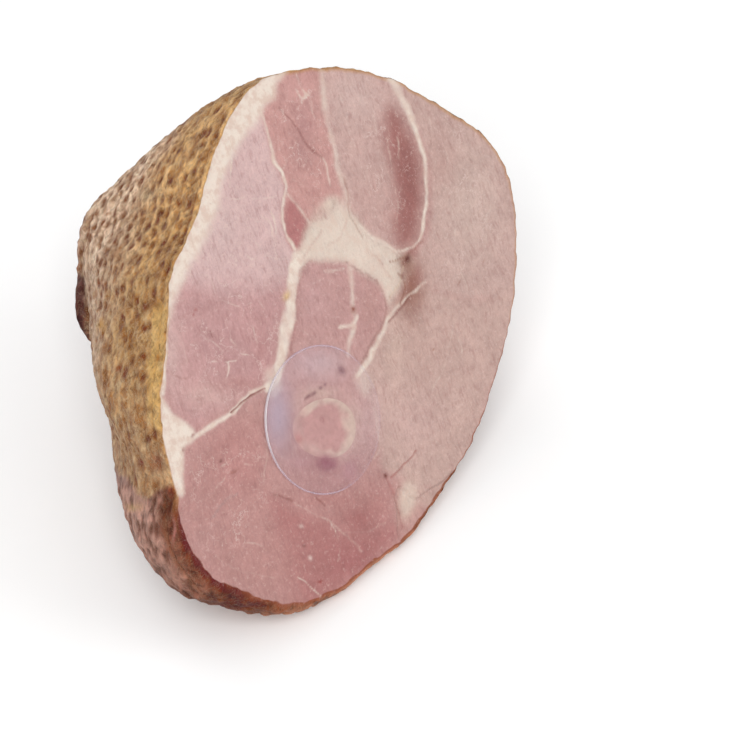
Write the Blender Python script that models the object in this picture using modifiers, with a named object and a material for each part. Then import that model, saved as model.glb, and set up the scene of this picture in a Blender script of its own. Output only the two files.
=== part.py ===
"""A spiral cut half ham, lying on its side with the cut face tilted up.

Every section of the ham is parallel to the cut face. A place on or in the ham is given as x (level, along the
face), t (up the face) and depth (straight into the meat from the face), all in metres from the middle of the
leg bone's guard. point() turns these into world coordinates.
"""
import math

import bmesh
import bpy
import numpy as np

MM = 0.001

# How the ham lies
FACE_TILT = math.radians(32.8)
GROUND_DROP = 68 * MM
GROUND_SOFTNESS = 3 * MM

# The flat it rests on, as level places from the guard's middle. Round the flat the meat keeps just off the
# ground, except at three spots spread wide, so that its weight stands firm.
FLAT_MIDDLE = np.array((21.5 * MM, 38.0 * MM))
FLAT_RADIUS = 22 * MM
FLAT_EDGE = 12 * MM
LIFT = 0.8 * MM
LIFT_REACH = 6 * MM
BEARING_SPOTS = np.array(((-37.66, 1.5), (64.59, 14.19), (40.98, 97.93))) * MM
BEARING_RADIUS = 2.5 * MM

# The cut face: its edge, as x and t in mm, anticlockwise from the far right
FACE_EDGE_MM = (
    (161, 34), (159, 56), (149, 73), (137, 90), (120, 111), (96, 129), (71, 141), (50, 146), (28, 140), (9, 129),
    (-12, 113), (-36, 100), (-48, 86), (-60, 71), (-73, 56), (-83, 33), (-87, 19), (-94, 2), (-92, -22), (-80, -40),
    (-62, -59), (-36, -69), (-8, -71), (16, -73), (48, -66), (70, -59), (98, -43), (128, -20), (151, 10),
)
FACE_MIDDLE = np.array((34 * MM, 34 * MM))

# The shank end, which the body tapers to
BODY_DEPTH = 114 * MM
SHANK_MIDDLE = np.array((34 * MM, 59 * MM))
SHANK_HALF_WIDTH = 41 * MM
SHANK_RISE = 53 * MM
SHANK_DROP = 73 * MM
SHANK_SQUARENESS = 2.5
TAPER_CURVE = 1.45
SHANK_CAP_DEPTH = 9 * MM
SHANK_CAP_ROUNDNESS = 0.5
SHANK_SAWN_SHARE = 0.55

# Swellings of the outside: direction round the face and half-spread in degrees, height in mm
LEAN_LOBE = (202, 20, 14)
UNDER_LOBE = (238, 24, 9)
FLANK_SWELL = (175, 28, 10)
FAR_SWELL = (335, 62, 15)
CREASE = (184, 7, -5)
SHANK_LOBE = (176, 24, 9)
LOBE_REACH = 95 * MM
LOBE_HASTE = 0.62
FLANK_REACH = 125 * MM
CREASE_DEPTH = 45 * MM
CREASE_LENGTH = 35 * MM

# The spiral cut: one continuous slice that winds round the leg bone
SLICE = 5 * MM
CUT_GROOVE = 0.7 * MM
ROWS_PER_SLICE = 3
COLUMNS = 60
CAP_ROWS = 5

# The leg bone, egg-shaped, from the cut face through to the shank end
BONE_START = np.array((-1 * MM, -4 * MM))
BONE_END = np.array((33 * MM, 52 * MM))
BONE_HALF_WIDTH = 18.5 * MM
BONE_HALF_HEIGHT = 13.5 * MM
BONE_TURN = math.radians(-31)
BONE_WAIST = 0.2
BONE_SIDES = 28
BONE_ROWS = 8
FIT_GAP = 0.3 * MM
TUNNEL_OVERRUN = 5 * MM

# The clear plastic guard that covers the cut bone
GUARD_RADIUS = 34 * MM
GUARD_THICKNESS = 0.5 * MM
GUARD_BEAD = 1.0 * MM
GUARD_SIDES = 64

WELD = 1e-6


def point(x, t, depth):
    """World place of face coordinates, as an array with x, y, z last."""
    x, t, depth = np.broadcast_arrays(x, t, depth)
    along = np.array((1.0, 0.0, 0.0))
    up_face = np.array((0.0, math.sin(FACE_TILT), math.cos(FACE_TILT)))
    inward = np.array((0.0, math.cos(FACE_TILT), -math.sin(FACE_TILT)))
    return x[..., None] * along + t[..., None] * up_face + depth[..., None] * inward


def closed_curve(points, steps=24):
    """A smooth closed curve through the points: each span is the Catmull-Rom cubic of its four neighbours."""
    p1 = np.asarray(points, float)
    p0, p2, p3 = np.roll(p1, 1, 0), np.roll(p1, -1, 0), np.roll(p1, -2, 0)
    s = np.linspace(0, 1, steps, endpoint=False)[None, :, None]
    p0, p1, p2, p3 = (p[:, None, :] for p in (p0, p1, p2, p3))
    curve = p1 + 0.5 * s * (p2 - p0 + s * (2 * p0 - 5 * p1 + 4 * p2 - p3 + s * (3 * (p1 - p2) + p3 - p0)))
    return curve.reshape(-1, 2)


FACE_CURVE = closed_curve(np.array(FACE_EDGE_MM) * MM) - FACE_MIDDLE
FACE_ANGLES = np.arctan2(FACE_CURVE[:, 1], FACE_CURVE[:, 0])
FACE_RADII = np.hypot(FACE_CURVE[:, 0], FACE_CURVE[:, 1])


def face_radius(angle):
    """Distance from the face's middle to its edge in a direction."""
    return np.interp(angle, FACE_ANGLES, FACE_RADII, period=2 * math.pi)


def shank_radius(angle):
    """Distance from the shank end's middle to its rounded, squarish edge, which hangs lower than it rises."""
    side = np.abs(np.cos(angle)) / SHANK_HALF_WIDTH
    height = np.abs(np.sin(angle)) / np.where(np.sin(angle) > 0, SHANK_RISE, SHANK_DROP)
    return (side**SHANK_SQUARENESS + height**SHANK_SQUARENESS) ** (-1 / SHANK_SQUARENESS)


def swelling(angle, form):
    """Height of a swelling in a direction: a bell curve over the angle to its middle."""
    at, spread, height = form
    off = np.angle(np.exp(1j * (angle - math.radians(at))))
    return height * MM * np.exp(-((off / math.radians(spread)) ** 2))


def side(angle, depth):
    """The ham's middle line, as x and t, and its radius in a direction round it, at a depth below the face."""
    share = (depth / BODY_DEPTH) ** TAPER_CURVE
    early = np.sin(math.pi * np.minimum((depth / LOBE_REACH) ** LOBE_HASTE, 1))
    late = np.sin(math.pi * depth / FLANK_REACH)
    creased = np.exp(-(((depth - CREASE_DEPTH) / CREASE_LENGTH) ** 2)) * np.minimum(depth / SLICE, 1)
    radius = face_radius(angle) * (1 - share) + shank_radius(angle) * share
    radius = radius + early * (swelling(angle, LEAN_LOBE) + swelling(angle, UNDER_LOBE))
    radius = radius + late * (swelling(angle, FLANK_SWELL) + swelling(angle, FAR_SWELL))
    radius = radius + creased * swelling(angle, CREASE)
    middle_x = FACE_MIDDLE[0] * (1 - share) + SHANK_MIDDLE[0] * share
    middle_t = FACE_MIDDLE[1] * (1 - share) + SHANK_MIDDLE[1] * share
    return middle_x, middle_t, radius


def off_ground(level):
    """How far the meat keeps off the ground, 0 to 1: 0 in the flat and at the bearing spots, 1 away from them."""
    beyond = np.clip((np.linalg.norm(level - FLAT_MIDDLE, axis=-1) - FLAT_RADIUS) / FLAT_EDGE, 0, 1)
    lifted = beyond * beyond * (3 - 2 * beyond)
    for spot in BEARING_SPOTS:
        lifted = lifted * (1 - np.exp(-((np.linalg.norm(level - spot, axis=-1) / BEARING_RADIUS) ** 2)))
    return lifted


def rest_on_ground(places):
    """Flattens what would reach below the ground, with a soft turn into the flat and a slight lift round it."""
    over = places[..., 2] + GROUND_DROP
    eased = np.clip(over + GROUND_SOFTNESS, 0, None) ** 2 / (4 * GROUND_SOFTNESS)
    height = np.where(over > GROUND_SOFTNESS, over, eased)
    lift = LIFT * off_ground(places[..., :2]) * np.exp(-((height / LIFT_REACH) ** 2))
    places[..., 2] = height + lift - GROUND_DROP
    return places


def sliced_side():
    """The outside between face and shank end, as one strip that winds round the bone.

    Its rows follow the spiral cut: they sink one slice deeper with each turn, and the row in the cut lies
    deeper in the rind. The first and last turn thin out to nothing at the flat face and at the shank end.
    """
    turns = math.ceil(BODY_DEPTH / SLICE) + 1
    column = np.arange(turns * COLUMNS + 1)[:, None]
    row = np.arange(ROWS_PER_SLICE + 1)[None, :]
    depth = SLICE * (column / COLUMNS - 1 + row / ROWS_PER_SLICE)
    in_cut = (row % ROWS_PER_SLICE == 0) & (depth > WELD) & (depth < BODY_DEPTH - WELD)
    depth = np.clip(depth, 0, BODY_DEPTH)
    angle = 2 * math.pi * (column % COLUMNS) / COLUMNS + 0 * depth
    middle_x, middle_t, radius = side(angle, depth)
    radius = radius - CUT_GROOVE * in_cut
    places = point(middle_x + radius * np.cos(angle), middle_t + radius * np.sin(angle), depth)
    return rest_on_ground(places)


def shank_cap():
    """The rounded shank end, as rings that close in to the sawn flat round the bone."""
    angle = np.linspace(0, 2 * math.pi, COLUMNS, endpoint=False)[None, :]
    turn = np.linspace(0, 1, CAP_ROWS + 1)[:, None] * math.pi / 2
    middle_x, middle_t, radius = side(angle, np.full_like(angle, BODY_DEPTH))
    shrink = SHANK_SAWN_SHARE + (1 - SHANK_SAWN_SHARE) * np.cos(turn) ** SHANK_CAP_ROUNDNESS
    radius = radius * shrink + np.sin(2 * turn) * swelling(angle, SHANK_LOBE)
    depth = BODY_DEPTH + SHANK_CAP_DEPTH * np.sin(turn)
    places = point(middle_x + radius * np.cos(angle), middle_t + radius * np.sin(angle), depth)
    return rest_on_ground(places)


def add_grid(mesh, places, closed):
    """Adds the quads of a grid of places to a bmesh, and returns the grid's rows of vertices."""
    grid = [[mesh.verts.new(place) for place in line] for line in places]
    across = len(grid[0])
    for line, following in zip(grid, grid[1:]):
        for k in range(across if closed else across - 1):
            mesh.faces.new((line[k], line[(k + 1) % across], following[(k + 1) % across], following[k]))
    return grid


def finish_mesh(mesh, name):
    """Welds a bmesh, turns its faces outward and makes it a mesh."""
    bmesh.ops.remove_doubles(mesh, verts=mesh.verts[:], dist=WELD)
    bmesh.ops.dissolve_degenerate(mesh, edges=mesh.edges[:], dist=WELD)
    bmesh.ops.recalc_face_normals(mesh, faces=mesh.faces[:])
    data = bpy.data.meshes.new(name)
    mesh.to_mesh(data)
    mesh.free()
    return data


def ham_mesh():
    """The meat with its fat and rind: the sliced side, the flat cut face and the rounded shank end."""
    mesh = bmesh.new()
    strip = sliced_side()
    grid = add_grid(mesh, strip, closed=False)
    mesh.faces.new([grid[k][0] for k in range(COLUMNS)])
    rings = add_grid(mesh, shank_cap(), closed=True)
    mesh.faces.new(rings[-1])
    return finish_mesh(mesh, "ham")


def bone_mesh(name, grow, overrun):
    """The leg bone from face to shank end, grown by a gap and run past both where it is to cut its own tunnel."""
    depth = np.linspace(0, BODY_DEPTH + SHANK_CAP_DEPTH, BONE_ROWS + 1)
    if overrun:
        depth = np.concatenate(([-overrun], depth, [depth[-1] + overrun]))
    depth = depth[:, None]
    angle = np.linspace(0, 2 * math.pi, BONE_SIDES, endpoint=False)[None, :]
    share = depth / BODY_DEPTH
    waist = 1 - BONE_WAIST * np.sin(math.pi * np.clip(share, 0, 1))
    wide = (BONE_HALF_WIDTH * waist + grow) * np.cos(angle)
    high = (BONE_HALF_HEIGHT * waist + grow) * np.sin(angle) * (1 + 0.12 * np.cos(angle))
    x = BONE_START[0] + (BONE_END[0] - BONE_START[0]) * share
    t = BONE_START[1] + (BONE_END[1] - BONE_START[1]) * share
    x = x + wide * math.cos(BONE_TURN) - high * math.sin(BONE_TURN)
    t = t + wide * math.sin(BONE_TURN) + high * math.cos(BONE_TURN)
    mesh = bmesh.new()
    rings = add_grid(mesh, point(x, t, depth), closed=True)
    mesh.faces.new(rings[0])
    mesh.faces.new(rings[-1])
    return finish_mesh(mesh, name)


def material(name, colour, roughness, transmission=0.0):
    """A plain Principled BSDF material."""
    made = bpy.data.materials.new(name)
    made.use_nodes = True
    shader = made.node_tree.nodes["Principled BSDF"]
    shader.inputs["Base Color"].default_value = (*colour, 1.0)
    shader.inputs["Roughness"].default_value = roughness
    shader.inputs["Metallic"].default_value = 0.0
    shader.inputs["Transmission Weight"].default_value = transmission
    return made


def add_object(name, data, collection, finish=None):
    """Puts a mesh in a collection as a named object."""
    made = bpy.data.objects.new(name, data)
    if finish:
        data.materials.append(finish)
    collection.objects.link(made)
    return made


for old in list(bpy.data.objects):
    bpy.data.objects.remove(old, do_unlink=True)

parts = bpy.data.collections.new("spiral_cut_ham")
cutters = bpy.data.collections.new("cutters")
for made in (parts, cutters):
    bpy.context.scene.collection.children.link(made)

# Ham, with a tunnel for the bone
ham = add_object("ham", ham_mesh(), parts, material("cured_meat", (0.60, 0.36, 0.34), 0.5))
tunnel = add_object("bone_tunnel", bone_mesh("bone_tunnel", FIT_GAP, TUNNEL_OVERRUN), cutters)
tunnel.hide_render = True
tunnel.display_type = "WIRE"
cut = ham.modifiers.new("bone_tunnel", "BOOLEAN")
cut.operation = "DIFFERENCE"
cut.solver = "EXACT"
cut.object = tunnel

# Leg bone, flush with the cut face
bone = add_object("leg_bone", bone_mesh("leg_bone", 0, 0), parts, material("bone", (0.78, 0.68, 0.60), 0.55))
bone.data.shade_smooth()
bone.data.set_sharp_from_angle(angle=math.radians(40))

# Bone guard: a turned disc with a beaded rim, laid on the face
profile = bpy.data.meshes.new("bone_guard")
rim = GUARD_RADIUS - GUARD_BEAD
low, high, bead = FIT_GAP, FIT_GAP + GUARD_THICKNESS, FIT_GAP + GUARD_BEAD
corners = ((0, high), (rim, high), (rim, bead), (GUARD_RADIUS, bead), (GUARD_RADIUS, low), (0, low))
profile.from_pydata([(r, 0.0, z) for r, z in corners], [(k, k + 1) for k in range(len(corners) - 1)], [])
guard = add_object("bone_guard", profile, parts, material("clear_plastic", (0.86, 0.84, 0.92), 0.12, 0.9))
turned = guard.modifiers.new("turned", "SCREW")
turned.steps = GUARD_SIDES
turned.render_steps = GUARD_SIDES
turned.use_merge_vertices = True
turned.merge_threshold = 0.0001
guard.rotation_euler = (math.pi / 2 - FACE_TILT, 0, 0)

# The frame's origin is under the middle of the ham, on the ground
places = np.array([vertex.co for vertex in ham.data.vertices])
low_corner, high_corner = places.min(0), places.max(0)
home = -(low_corner + high_corner) / 2
home[2] = -low_corner[2]
lying = bpy.data.objects.new("lying", None)
lying.location = home
parts.objects.link(lying)
for made in (ham, tunnel, bone, guard):
    made.parent = lying
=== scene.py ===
# %% [markdown]
# # A spiral cut half ham
# The packed model is the fixed frame: every piece below takes its place from it. The ham, its leg bone
# and the clear guard over the bone are made again here as fine surfaces that stand for the plain solids.

# %% Load the frame
import math

import bmesh
import bpy
import numpy as np
from mathutils import Matrix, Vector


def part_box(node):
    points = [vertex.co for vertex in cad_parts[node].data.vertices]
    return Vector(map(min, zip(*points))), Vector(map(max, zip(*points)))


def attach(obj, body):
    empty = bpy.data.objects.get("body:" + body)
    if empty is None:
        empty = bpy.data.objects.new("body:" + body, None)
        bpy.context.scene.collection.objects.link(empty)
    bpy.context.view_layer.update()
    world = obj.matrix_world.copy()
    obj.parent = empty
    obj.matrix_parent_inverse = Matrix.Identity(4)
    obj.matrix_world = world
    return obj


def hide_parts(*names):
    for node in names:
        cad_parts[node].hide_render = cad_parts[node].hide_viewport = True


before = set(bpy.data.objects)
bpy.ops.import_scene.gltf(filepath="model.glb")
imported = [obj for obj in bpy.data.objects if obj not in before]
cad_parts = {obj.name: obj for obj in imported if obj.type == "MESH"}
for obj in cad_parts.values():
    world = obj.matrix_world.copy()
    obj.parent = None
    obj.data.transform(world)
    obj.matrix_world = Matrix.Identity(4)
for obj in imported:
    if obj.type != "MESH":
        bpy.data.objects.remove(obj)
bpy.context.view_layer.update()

MM = 0.001
print("nodes in the frame:", sorted(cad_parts))

# %% [markdown]
# The cut face is a tilted plane, so places on the ham are worked out as x (level, along the face), t (up
# the face) and depth (into the meat), from the middle of the guard. One function turns them into world
# places.

# %% The face's own directions
FACE_TILT = math.radians(32.8)
ALONG = np.array((1.0, 0.0, 0.0))
UP_FACE = np.array((0.0, math.sin(FACE_TILT), math.cos(FACE_TILT)))
INWARD = np.array((0.0, math.cos(FACE_TILT), -math.sin(FACE_TILT)))
GUARD_STANDS_PROUD = 0.8 * MM

guard_low, guard_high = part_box("bone_guard")
HOME = np.array((guard_low + guard_high) / 2) + GUARD_STANDS_PROUD * INWARD


def point(x, t, depth):
    """World place of face coordinates: home + x along + t up the face + depth inward."""
    x, t, depth = np.broadcast_arrays(x, t, depth)
    return HOME + x[..., None] * ALONG + t[..., None] * UP_FACE + depth[..., None] * INWARD


print("middle of the guard, on the face (mm):", np.round(HOME / MM, 1))

# %% [markdown]
# The camera stands where the photographer stood. It is needed first, because the seams, fat and muscles
# of the cut face were traced in the photograph's pixels, and the same view turns world places into those
# pixels.

# %% The photographer's view
CAMERA_TURN = math.radians(-50.8)
CAMERA_RISE = math.radians(43.6)
CAMERA_DISTANCE = 1.5
CAMERA_LENS = 160.0
SENSOR_WIDTH = 36.0
FRAME_PIXELS = 748
GUARD_PIXEL = (322.4, 419.8)

PIXELS_PER_SLOPE = FRAME_PIXELS * CAMERA_LENS / SENSOR_WIDTH
VIEW_RIGHT = np.array((math.cos(CAMERA_TURN), math.sin(CAMERA_TURN), 0.0))
VIEW_BACK = np.array((
    math.sin(CAMERA_TURN) * math.cos(CAMERA_RISE),
    -math.cos(CAMERA_TURN) * math.cos(CAMERA_RISE),
    math.sin(CAMERA_RISE),
))
VIEW_UP = np.cross(VIEW_BACK, VIEW_RIGHT)
metres_a_pixel = CAMERA_DISTANCE / PIXELS_PER_SLOPE
CAMERA_PLACE = (
    HOME + VIEW_BACK * CAMERA_DISTANCE
    - VIEW_RIGHT * (GUARD_PIXEL[0] - FRAME_PIXELS / 2) * metres_a_pixel
    - VIEW_UP * (FRAME_PIXELS / 2 - GUARD_PIXEL[1]) * metres_a_pixel
)


def to_pixels(places):
    """Pixel of each world place: its offset across and up the view, over its distance along the view."""
    away = places - CAMERA_PLACE
    distance = -(away @ VIEW_BACK)
    across = FRAME_PIXELS / 2 + PIXELS_PER_SLOPE * (away @ VIEW_RIGHT) / distance
    down = FRAME_PIXELS / 2 - PIXELS_PER_SLOPE * (away @ VIEW_UP) / distance
    return np.stack((across, down), -1)


def look_along(back, up):
    """The turn that points a camera or lamp along minus back, with up upward."""
    right = np.cross(up, back)
    right /= np.linalg.norm(right)
    up = np.cross(back, right)
    return Matrix((right, up, back)).transposed().to_euler()


camera_data = bpy.data.cameras.new("photo_camera")
camera_data.lens = CAMERA_LENS
camera_data.sensor_width = SENSOR_WIDTH
camera_data.clip_end = 20.0
camera = bpy.data.objects.new("photo_camera", camera_data)
camera.location = CAMERA_PLACE
camera.rotation_euler = look_along(VIEW_BACK, VIEW_UP)
bpy.context.scene.collection.objects.link(camera)
bpy.context.scene.camera = camera
print("mm a pixel at the guard:", round(metres_a_pixel / MM, 3))

# %% [markdown]
# A half ham is the end of a leg: cut square across the thick muscles, sawn through at the shank, and
# sagging a little where it lies. It could be sculpted by hand, but a formula keeps the fine surface true
# to the solid, which follows the same traced edge of the cut face. Here it is only sampled far more
# finely. A smooth curve is led through the traced points, and read as a radius in each direction.

# %% The ham's outline
FACE_EDGE_MM = (
    (161, 34), (159, 56), (149, 73), (137, 90), (120, 111), (96, 129), (71, 141), (50, 146), (28, 140),
    (9, 129), (-12, 113), (-36, 100), (-48, 86), (-60, 71), (-73, 56), (-83, 33), (-87, 19), (-94, 2),
    (-92, -22), (-80, -40), (-62, -59), (-36, -69), (-8, -71), (16, -73), (48, -66), (70, -59),
    (98, -43), (128, -20), (151, 10),
)
FACE_MIDDLE = np.array((34 * MM, 34 * MM))


def full_turn(columns):
    """A row of directions, evenly spaced once round."""
    return np.linspace(0, 2 * math.pi, columns, endpoint=False)[None, :]


def spans(p0, p1, p2, p3, steps):
    """Places along spans from p1 to p2: each is the Catmull-Rom cubic of its four neighbouring points."""
    s = np.linspace(0, 1, steps, endpoint=False)[None, :, None]
    p0, p1, p2, p3 = (p[:, None, :] for p in (p0, p1, p2, p3))
    curve = p1 + 0.5 * s * (p2 - p0 + s * (2 * p0 - 5 * p1 + 4 * p2 - p3 + s * (3 * (p1 - p2) + p3 - p0)))
    return curve.reshape(-1, 2)


def closed_curve(points, steps=24):
    """A smooth closed curve through the points: a span between each two neighbours."""
    p = np.asarray(points, float)
    return spans(np.roll(p, 1, 0), p, np.roll(p, -1, 0), np.roll(p, -2, 0), steps)


face_curve = closed_curve(np.array(FACE_EDGE_MM) * MM) - FACE_MIDDLE
face_angles = np.arctan2(face_curve[:, 1], face_curve[:, 0])
face_radii = np.hypot(face_curve[:, 0], face_curve[:, 1])
print("face edge reaches (mm):", np.round(face_radii.min() / MM), "to", np.round(face_radii.max() / MM))

# %% [markdown]
# From the face back, the edge tapers to a squarish shank end. That could be a loft between two outlines,
# and it is one here: the radius in each direction goes from the face's to the shank's, slowly at first.
# The swellings and the crease that show in the photograph are added in their directions.

# %% The ham's taper
BODY_DEPTH = 114 * MM
SHANK_MIDDLE = np.array((34 * MM, 59 * MM))
SHANK_HALF_WIDTH = 41 * MM
SHANK_RISE = 53 * MM
SHANK_DROP = 73 * MM
SHANK_SQUARENESS = 2.5
TAPER_CURVE = 1.45
SHANK_CAP_DEPTH = 9 * MM
SHANK_CAP_ROUNDNESS = 0.5
SHANK_SAWN_SHARE = 0.55

# direction round the face and half-spread in degrees, height in mm
LEAN_LOBE = (202, 20, 14)
UNDER_LOBE = (238, 24, 9)
FLANK_SWELL = (175, 28, 10)
FAR_SWELL = (335, 62, 15)
CREASE = (184, 7, -5)
SHANK_LOBE = (176, 24, 9)
LOBE_REACH = 95 * MM
LOBE_HASTE = 0.62
FLANK_REACH = 125 * MM
CREASE_DEPTH = 45 * MM
CREASE_LENGTH = 35 * MM
SLICE = 5 * MM


def swelling(angle, form):
    """Height of a swelling in a direction: a bell curve over the angle to its middle."""
    at, spread, height = form
    off = np.angle(np.exp(1j * (angle - math.radians(at))))
    return height * MM * np.exp(-((off / math.radians(spread)) ** 2))


def side(angle, depth):
    """The ham's middle line, as x and t, and its radius in a direction, at a depth below the face."""
    share = (depth / BODY_DEPTH) ** TAPER_CURVE
    early = np.sin(math.pi * np.minimum((depth / LOBE_REACH) ** LOBE_HASTE, 1))
    late = np.sin(math.pi * depth / FLANK_REACH)
    creased = np.exp(-(((depth - CREASE_DEPTH) / CREASE_LENGTH) ** 2)) * np.minimum(depth / SLICE, 1)
    wide = np.abs(np.cos(angle)) / SHANK_HALF_WIDTH
    high = np.abs(np.sin(angle)) / np.where(np.sin(angle) > 0, SHANK_RISE, SHANK_DROP)
    shank = (wide**SHANK_SQUARENESS + high**SHANK_SQUARENESS) ** (-1 / SHANK_SQUARENESS)
    radius = np.interp(angle, face_angles, face_radii, period=2 * math.pi) * (1 - share) + shank * share
    radius = radius + early * (swelling(angle, LEAN_LOBE) + swelling(angle, UNDER_LOBE))
    radius = radius + late * (swelling(angle, FLANK_SWELL) + swelling(angle, FAR_SWELL))
    radius = radius + creased * swelling(angle, CREASE)
    middle_x = FACE_MIDDLE[0] * (1 - share) + SHANK_MIDDLE[0] * share
    middle_t = FACE_MIDDLE[1] * (1 - share) + SHANK_MIDDLE[1] * share
    return middle_x, middle_t, radius


def ring_at(angle, middle_x, middle_t, radius):
    """A ring as x and t: its middle, plus the radius times the cosine and the sine of the angle."""
    return middle_x + radius * np.cos(angle), middle_t + radius * np.sin(angle)


def between(first, second, share):
    """The first x and t, plus a share of the way to the second."""
    return [a + (b - a) * share for a, b in zip(first, second)]


def side_place(angle, depth):
    """Places on the ham's side, without its crags."""
    return point(*ring_at(angle, *side(angle, depth)), depth)


def from_middle(places, angle, depth):
    """Unit directions from the ham's middle line out to places."""
    middle_x, middle_t, _ = side(angle, np.clip(depth, 0, BODY_DEPTH))
    outward = places - point(middle_x, middle_t, depth)
    return outward / np.linalg.norm(outward, axis=1)[:, None]


print("middle of the shank end (m):", np.round(point(*SHANK_MIDDLE, BODY_DEPTH), 3))

# %% [markdown]
# Meat settles where it lies. It could just as well sink through the floor unseen, but the packed model
# stands on the floor. So what would reach below is pressed up to it, softly, and lifted off it again by
# less than a millimetre, all but a round flat and three small spots that the ham stands on.

# %% The flat it lies on
GROUND_SOFTNESS = 3 * MM
FLAT_MIDDLE = np.array((21.5 * MM, 38.0 * MM))
FLAT_RADIUS = 22 * MM
FLAT_EDGE = 12 * MM
LIFT = 0.8 * MM
LIFT_REACH = 6 * MM
BEARING_SPOTS = np.array(((-37.66, 1.5), (64.59, 14.19), (40.98, 97.93))) * MM
BEARING_RADIUS = 2.5 * MM


def off_ground(level):
    """How far the meat keeps off the floor: 0 in the flat and at the bearing spots, 1 away from them."""
    beyond = np.clip((np.linalg.norm(level - FLAT_MIDDLE, axis=-1) - FLAT_RADIUS) / FLAT_EDGE, 0, 1)
    lifted = beyond * beyond * (3 - 2 * beyond)
    for spot_place in BEARING_SPOTS:
        off = np.linalg.norm(level - spot_place, axis=-1) / BEARING_RADIUS
        lifted = lifted * (1 - np.exp(-(off**2)))
    return lifted


def rest_on_ground(places):
    """Flattens what would reach below the floor, with a soft turn into the flat and a lift round it."""
    over = places[..., 2]
    eased = np.clip(over + GROUND_SOFTNESS, 0, None) ** 2 / (4 * GROUND_SOFTNESS)
    height = np.where(over > GROUND_SOFTNESS, over, eased)
    lift = LIFT * off_ground(places[..., :2] - HOME[:2]) * np.exp(-((height / LIFT_REACH) ** 2))
    places[..., 2] = height + lift
    return places


print("flat that it stands on (mm):", np.round(2 * FLAT_RADIUS / MM), "across")

# %% [markdown]
# Meat is never even. Its lumps could come from a displace modifier, but then each piece would have its
# own. A seeded lattice of random numbers, read with smooth steps between its corners, gives lumps of any
# size in space, so both pieces of the ham share the same lumps where they meet.

# %% Lumps
LATTICE = 32


def lumps(places, size, seed):
    """Smooth random heights from -1 to 1: the corners of a lattice of a given size, eased together."""
    lattice = np.random.default_rng(seed).uniform(-1, 1, (LATTICE, LATTICE, LATTICE))
    cell = places / size
    low = np.floor(cell).astype(int)
    part = cell - low
    part = part * part * (3 - 2 * part)
    total = 0.0
    for corner in np.ndindex(2, 2, 2):
        share = np.prod(np.where(corner, part, 1 - part), axis=-1)
        at = (low + corner) % LATTICE
        total = total + share * lattice[at[..., 0], at[..., 1], at[..., 2]]
    return total


print("a lump at the middle of the guard:", np.round(lumps(HOME, 10 * MM, 1), 2))

# %% [markdown]
# The colours of cut meat run into each other. They could be separate materials, but those would meet at
# hard edges, so the colours are painted on the vertices instead. They are given as they look on a screen,
# 0 to 255, and turned into the light values that Blender mixes.

# %% Paint
def screen(*colour):
    """Light values of a screen colour: the standard curve, close to the power 2.2."""
    share = np.asarray(colour, float) / 255
    return np.where(share <= 0.04045, share / 12.92, ((share + 0.055) / 1.055) ** 2.4)


def ease(value, low, high):
    """0 below low, 1 above high, and a smooth step between."""
    share = np.clip((value - low) / (high - low), 0, 1)
    return share * share * (3 - 2 * share)


def lay(paint, cover, colour):
    """Paint with a colour laid over it by a cover from 0 to 1."""
    return paint + cover[:, None] * (screen(*colour) - paint)


print("light values of middle grey:", np.round(screen(128, 128, 128), 3))

# %% [markdown]
# Each feature of the meat is a line, an area or a spot in the photograph. They could be drawn as flat
# patches, but then each vertex would be either in or out. So the distance to the line or to the edge is
# measured instead, in the photograph's pixels, of which one is about half a millimetre.

# %% Distances in the photograph
def distance_to_line(pixels, line):
    """Distance of each pixel to a broken line, and how far along the line its nearest place is, 0 to 1."""
    line = np.asarray(line, float)
    nearest = np.full(len(pixels), 1e9)
    along = np.zeros(len(pixels))
    parts = len(line) - 1
    for k in range(parts):
        start, run = line[k], line[k + 1] - line[k]
        share = np.clip(((pixels - start) @ run) / (run @ run), 0, 1)
        off = np.hypot(*(pixels - start - share[:, None] * run).T)
        closer = off < nearest
        nearest = np.where(closer, off, nearest)
        along = np.where(closer, (k + share) / parts, along)
    return nearest, along


def smooth_line(line, steps=6):
    """A broken line made smooth, with its ends held."""
    p = np.asarray(line, float)
    p = np.vstack((2 * p[0] - p[1], p, 2 * p[-1] - p[-2]))
    return np.vstack((spans(p[:-3], p[1:-2], p[2:-1], p[3:], steps), p[-2]))


def inside(pixels, outline):
    """Which pixels are inside a closed outline: a line to the right crosses it an odd number of times."""
    outline = np.asarray(outline, float)
    odd = np.zeros(len(pixels), bool)
    for (x1, y1), (x2, y2) in zip(outline, np.roll(outline, -1, 0)):
        if y1 == y2:
            continue
        crosses = (pixels[:, 1] > min(y1, y2)) & (pixels[:, 1] <= max(y1, y2))
        odd ^= crosses & (pixels[:, 0] < x1 + (pixels[:, 1] - y1) * (x2 - x1) / (y2 - y1))
    return odd


print("distance of a place beside a line (pixels):",
      distance_to_line(np.array(((5.0, 3.0),)), ((0, 0), (10, 0)))[0])

# %% [markdown]
# A brush turns such a distance into a cover, from 0 to 1, and the colour is laid over the paint before
# it by that cover. A hard edge would be simpler, but meat has none, so each brush has a soft edge.

# %% Brushes
def area(pixels, outline, softness):
    """Cover of an area: 1 inside its outline, 0 outside, with a soft edge of the given width."""
    smooth = closed_curve(outline, 6)
    off, _ = distance_to_line(pixels, np.vstack((smooth, smooth[:1])))
    signed = np.where(inside(pixels, smooth), off, -off)
    return ease(signed, -softness, softness)


def line_cover(pixels, line, start_width, end_width, softness):
    """Cover of a line whose width runs from one value to another along it."""
    off, along = distance_to_line(pixels, smooth_line(line))
    width = start_width + (end_width - start_width) * along
    return 1 - ease(off, width / 2 - softness / 2, width / 2 + softness / 2 + 0.01)


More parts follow.
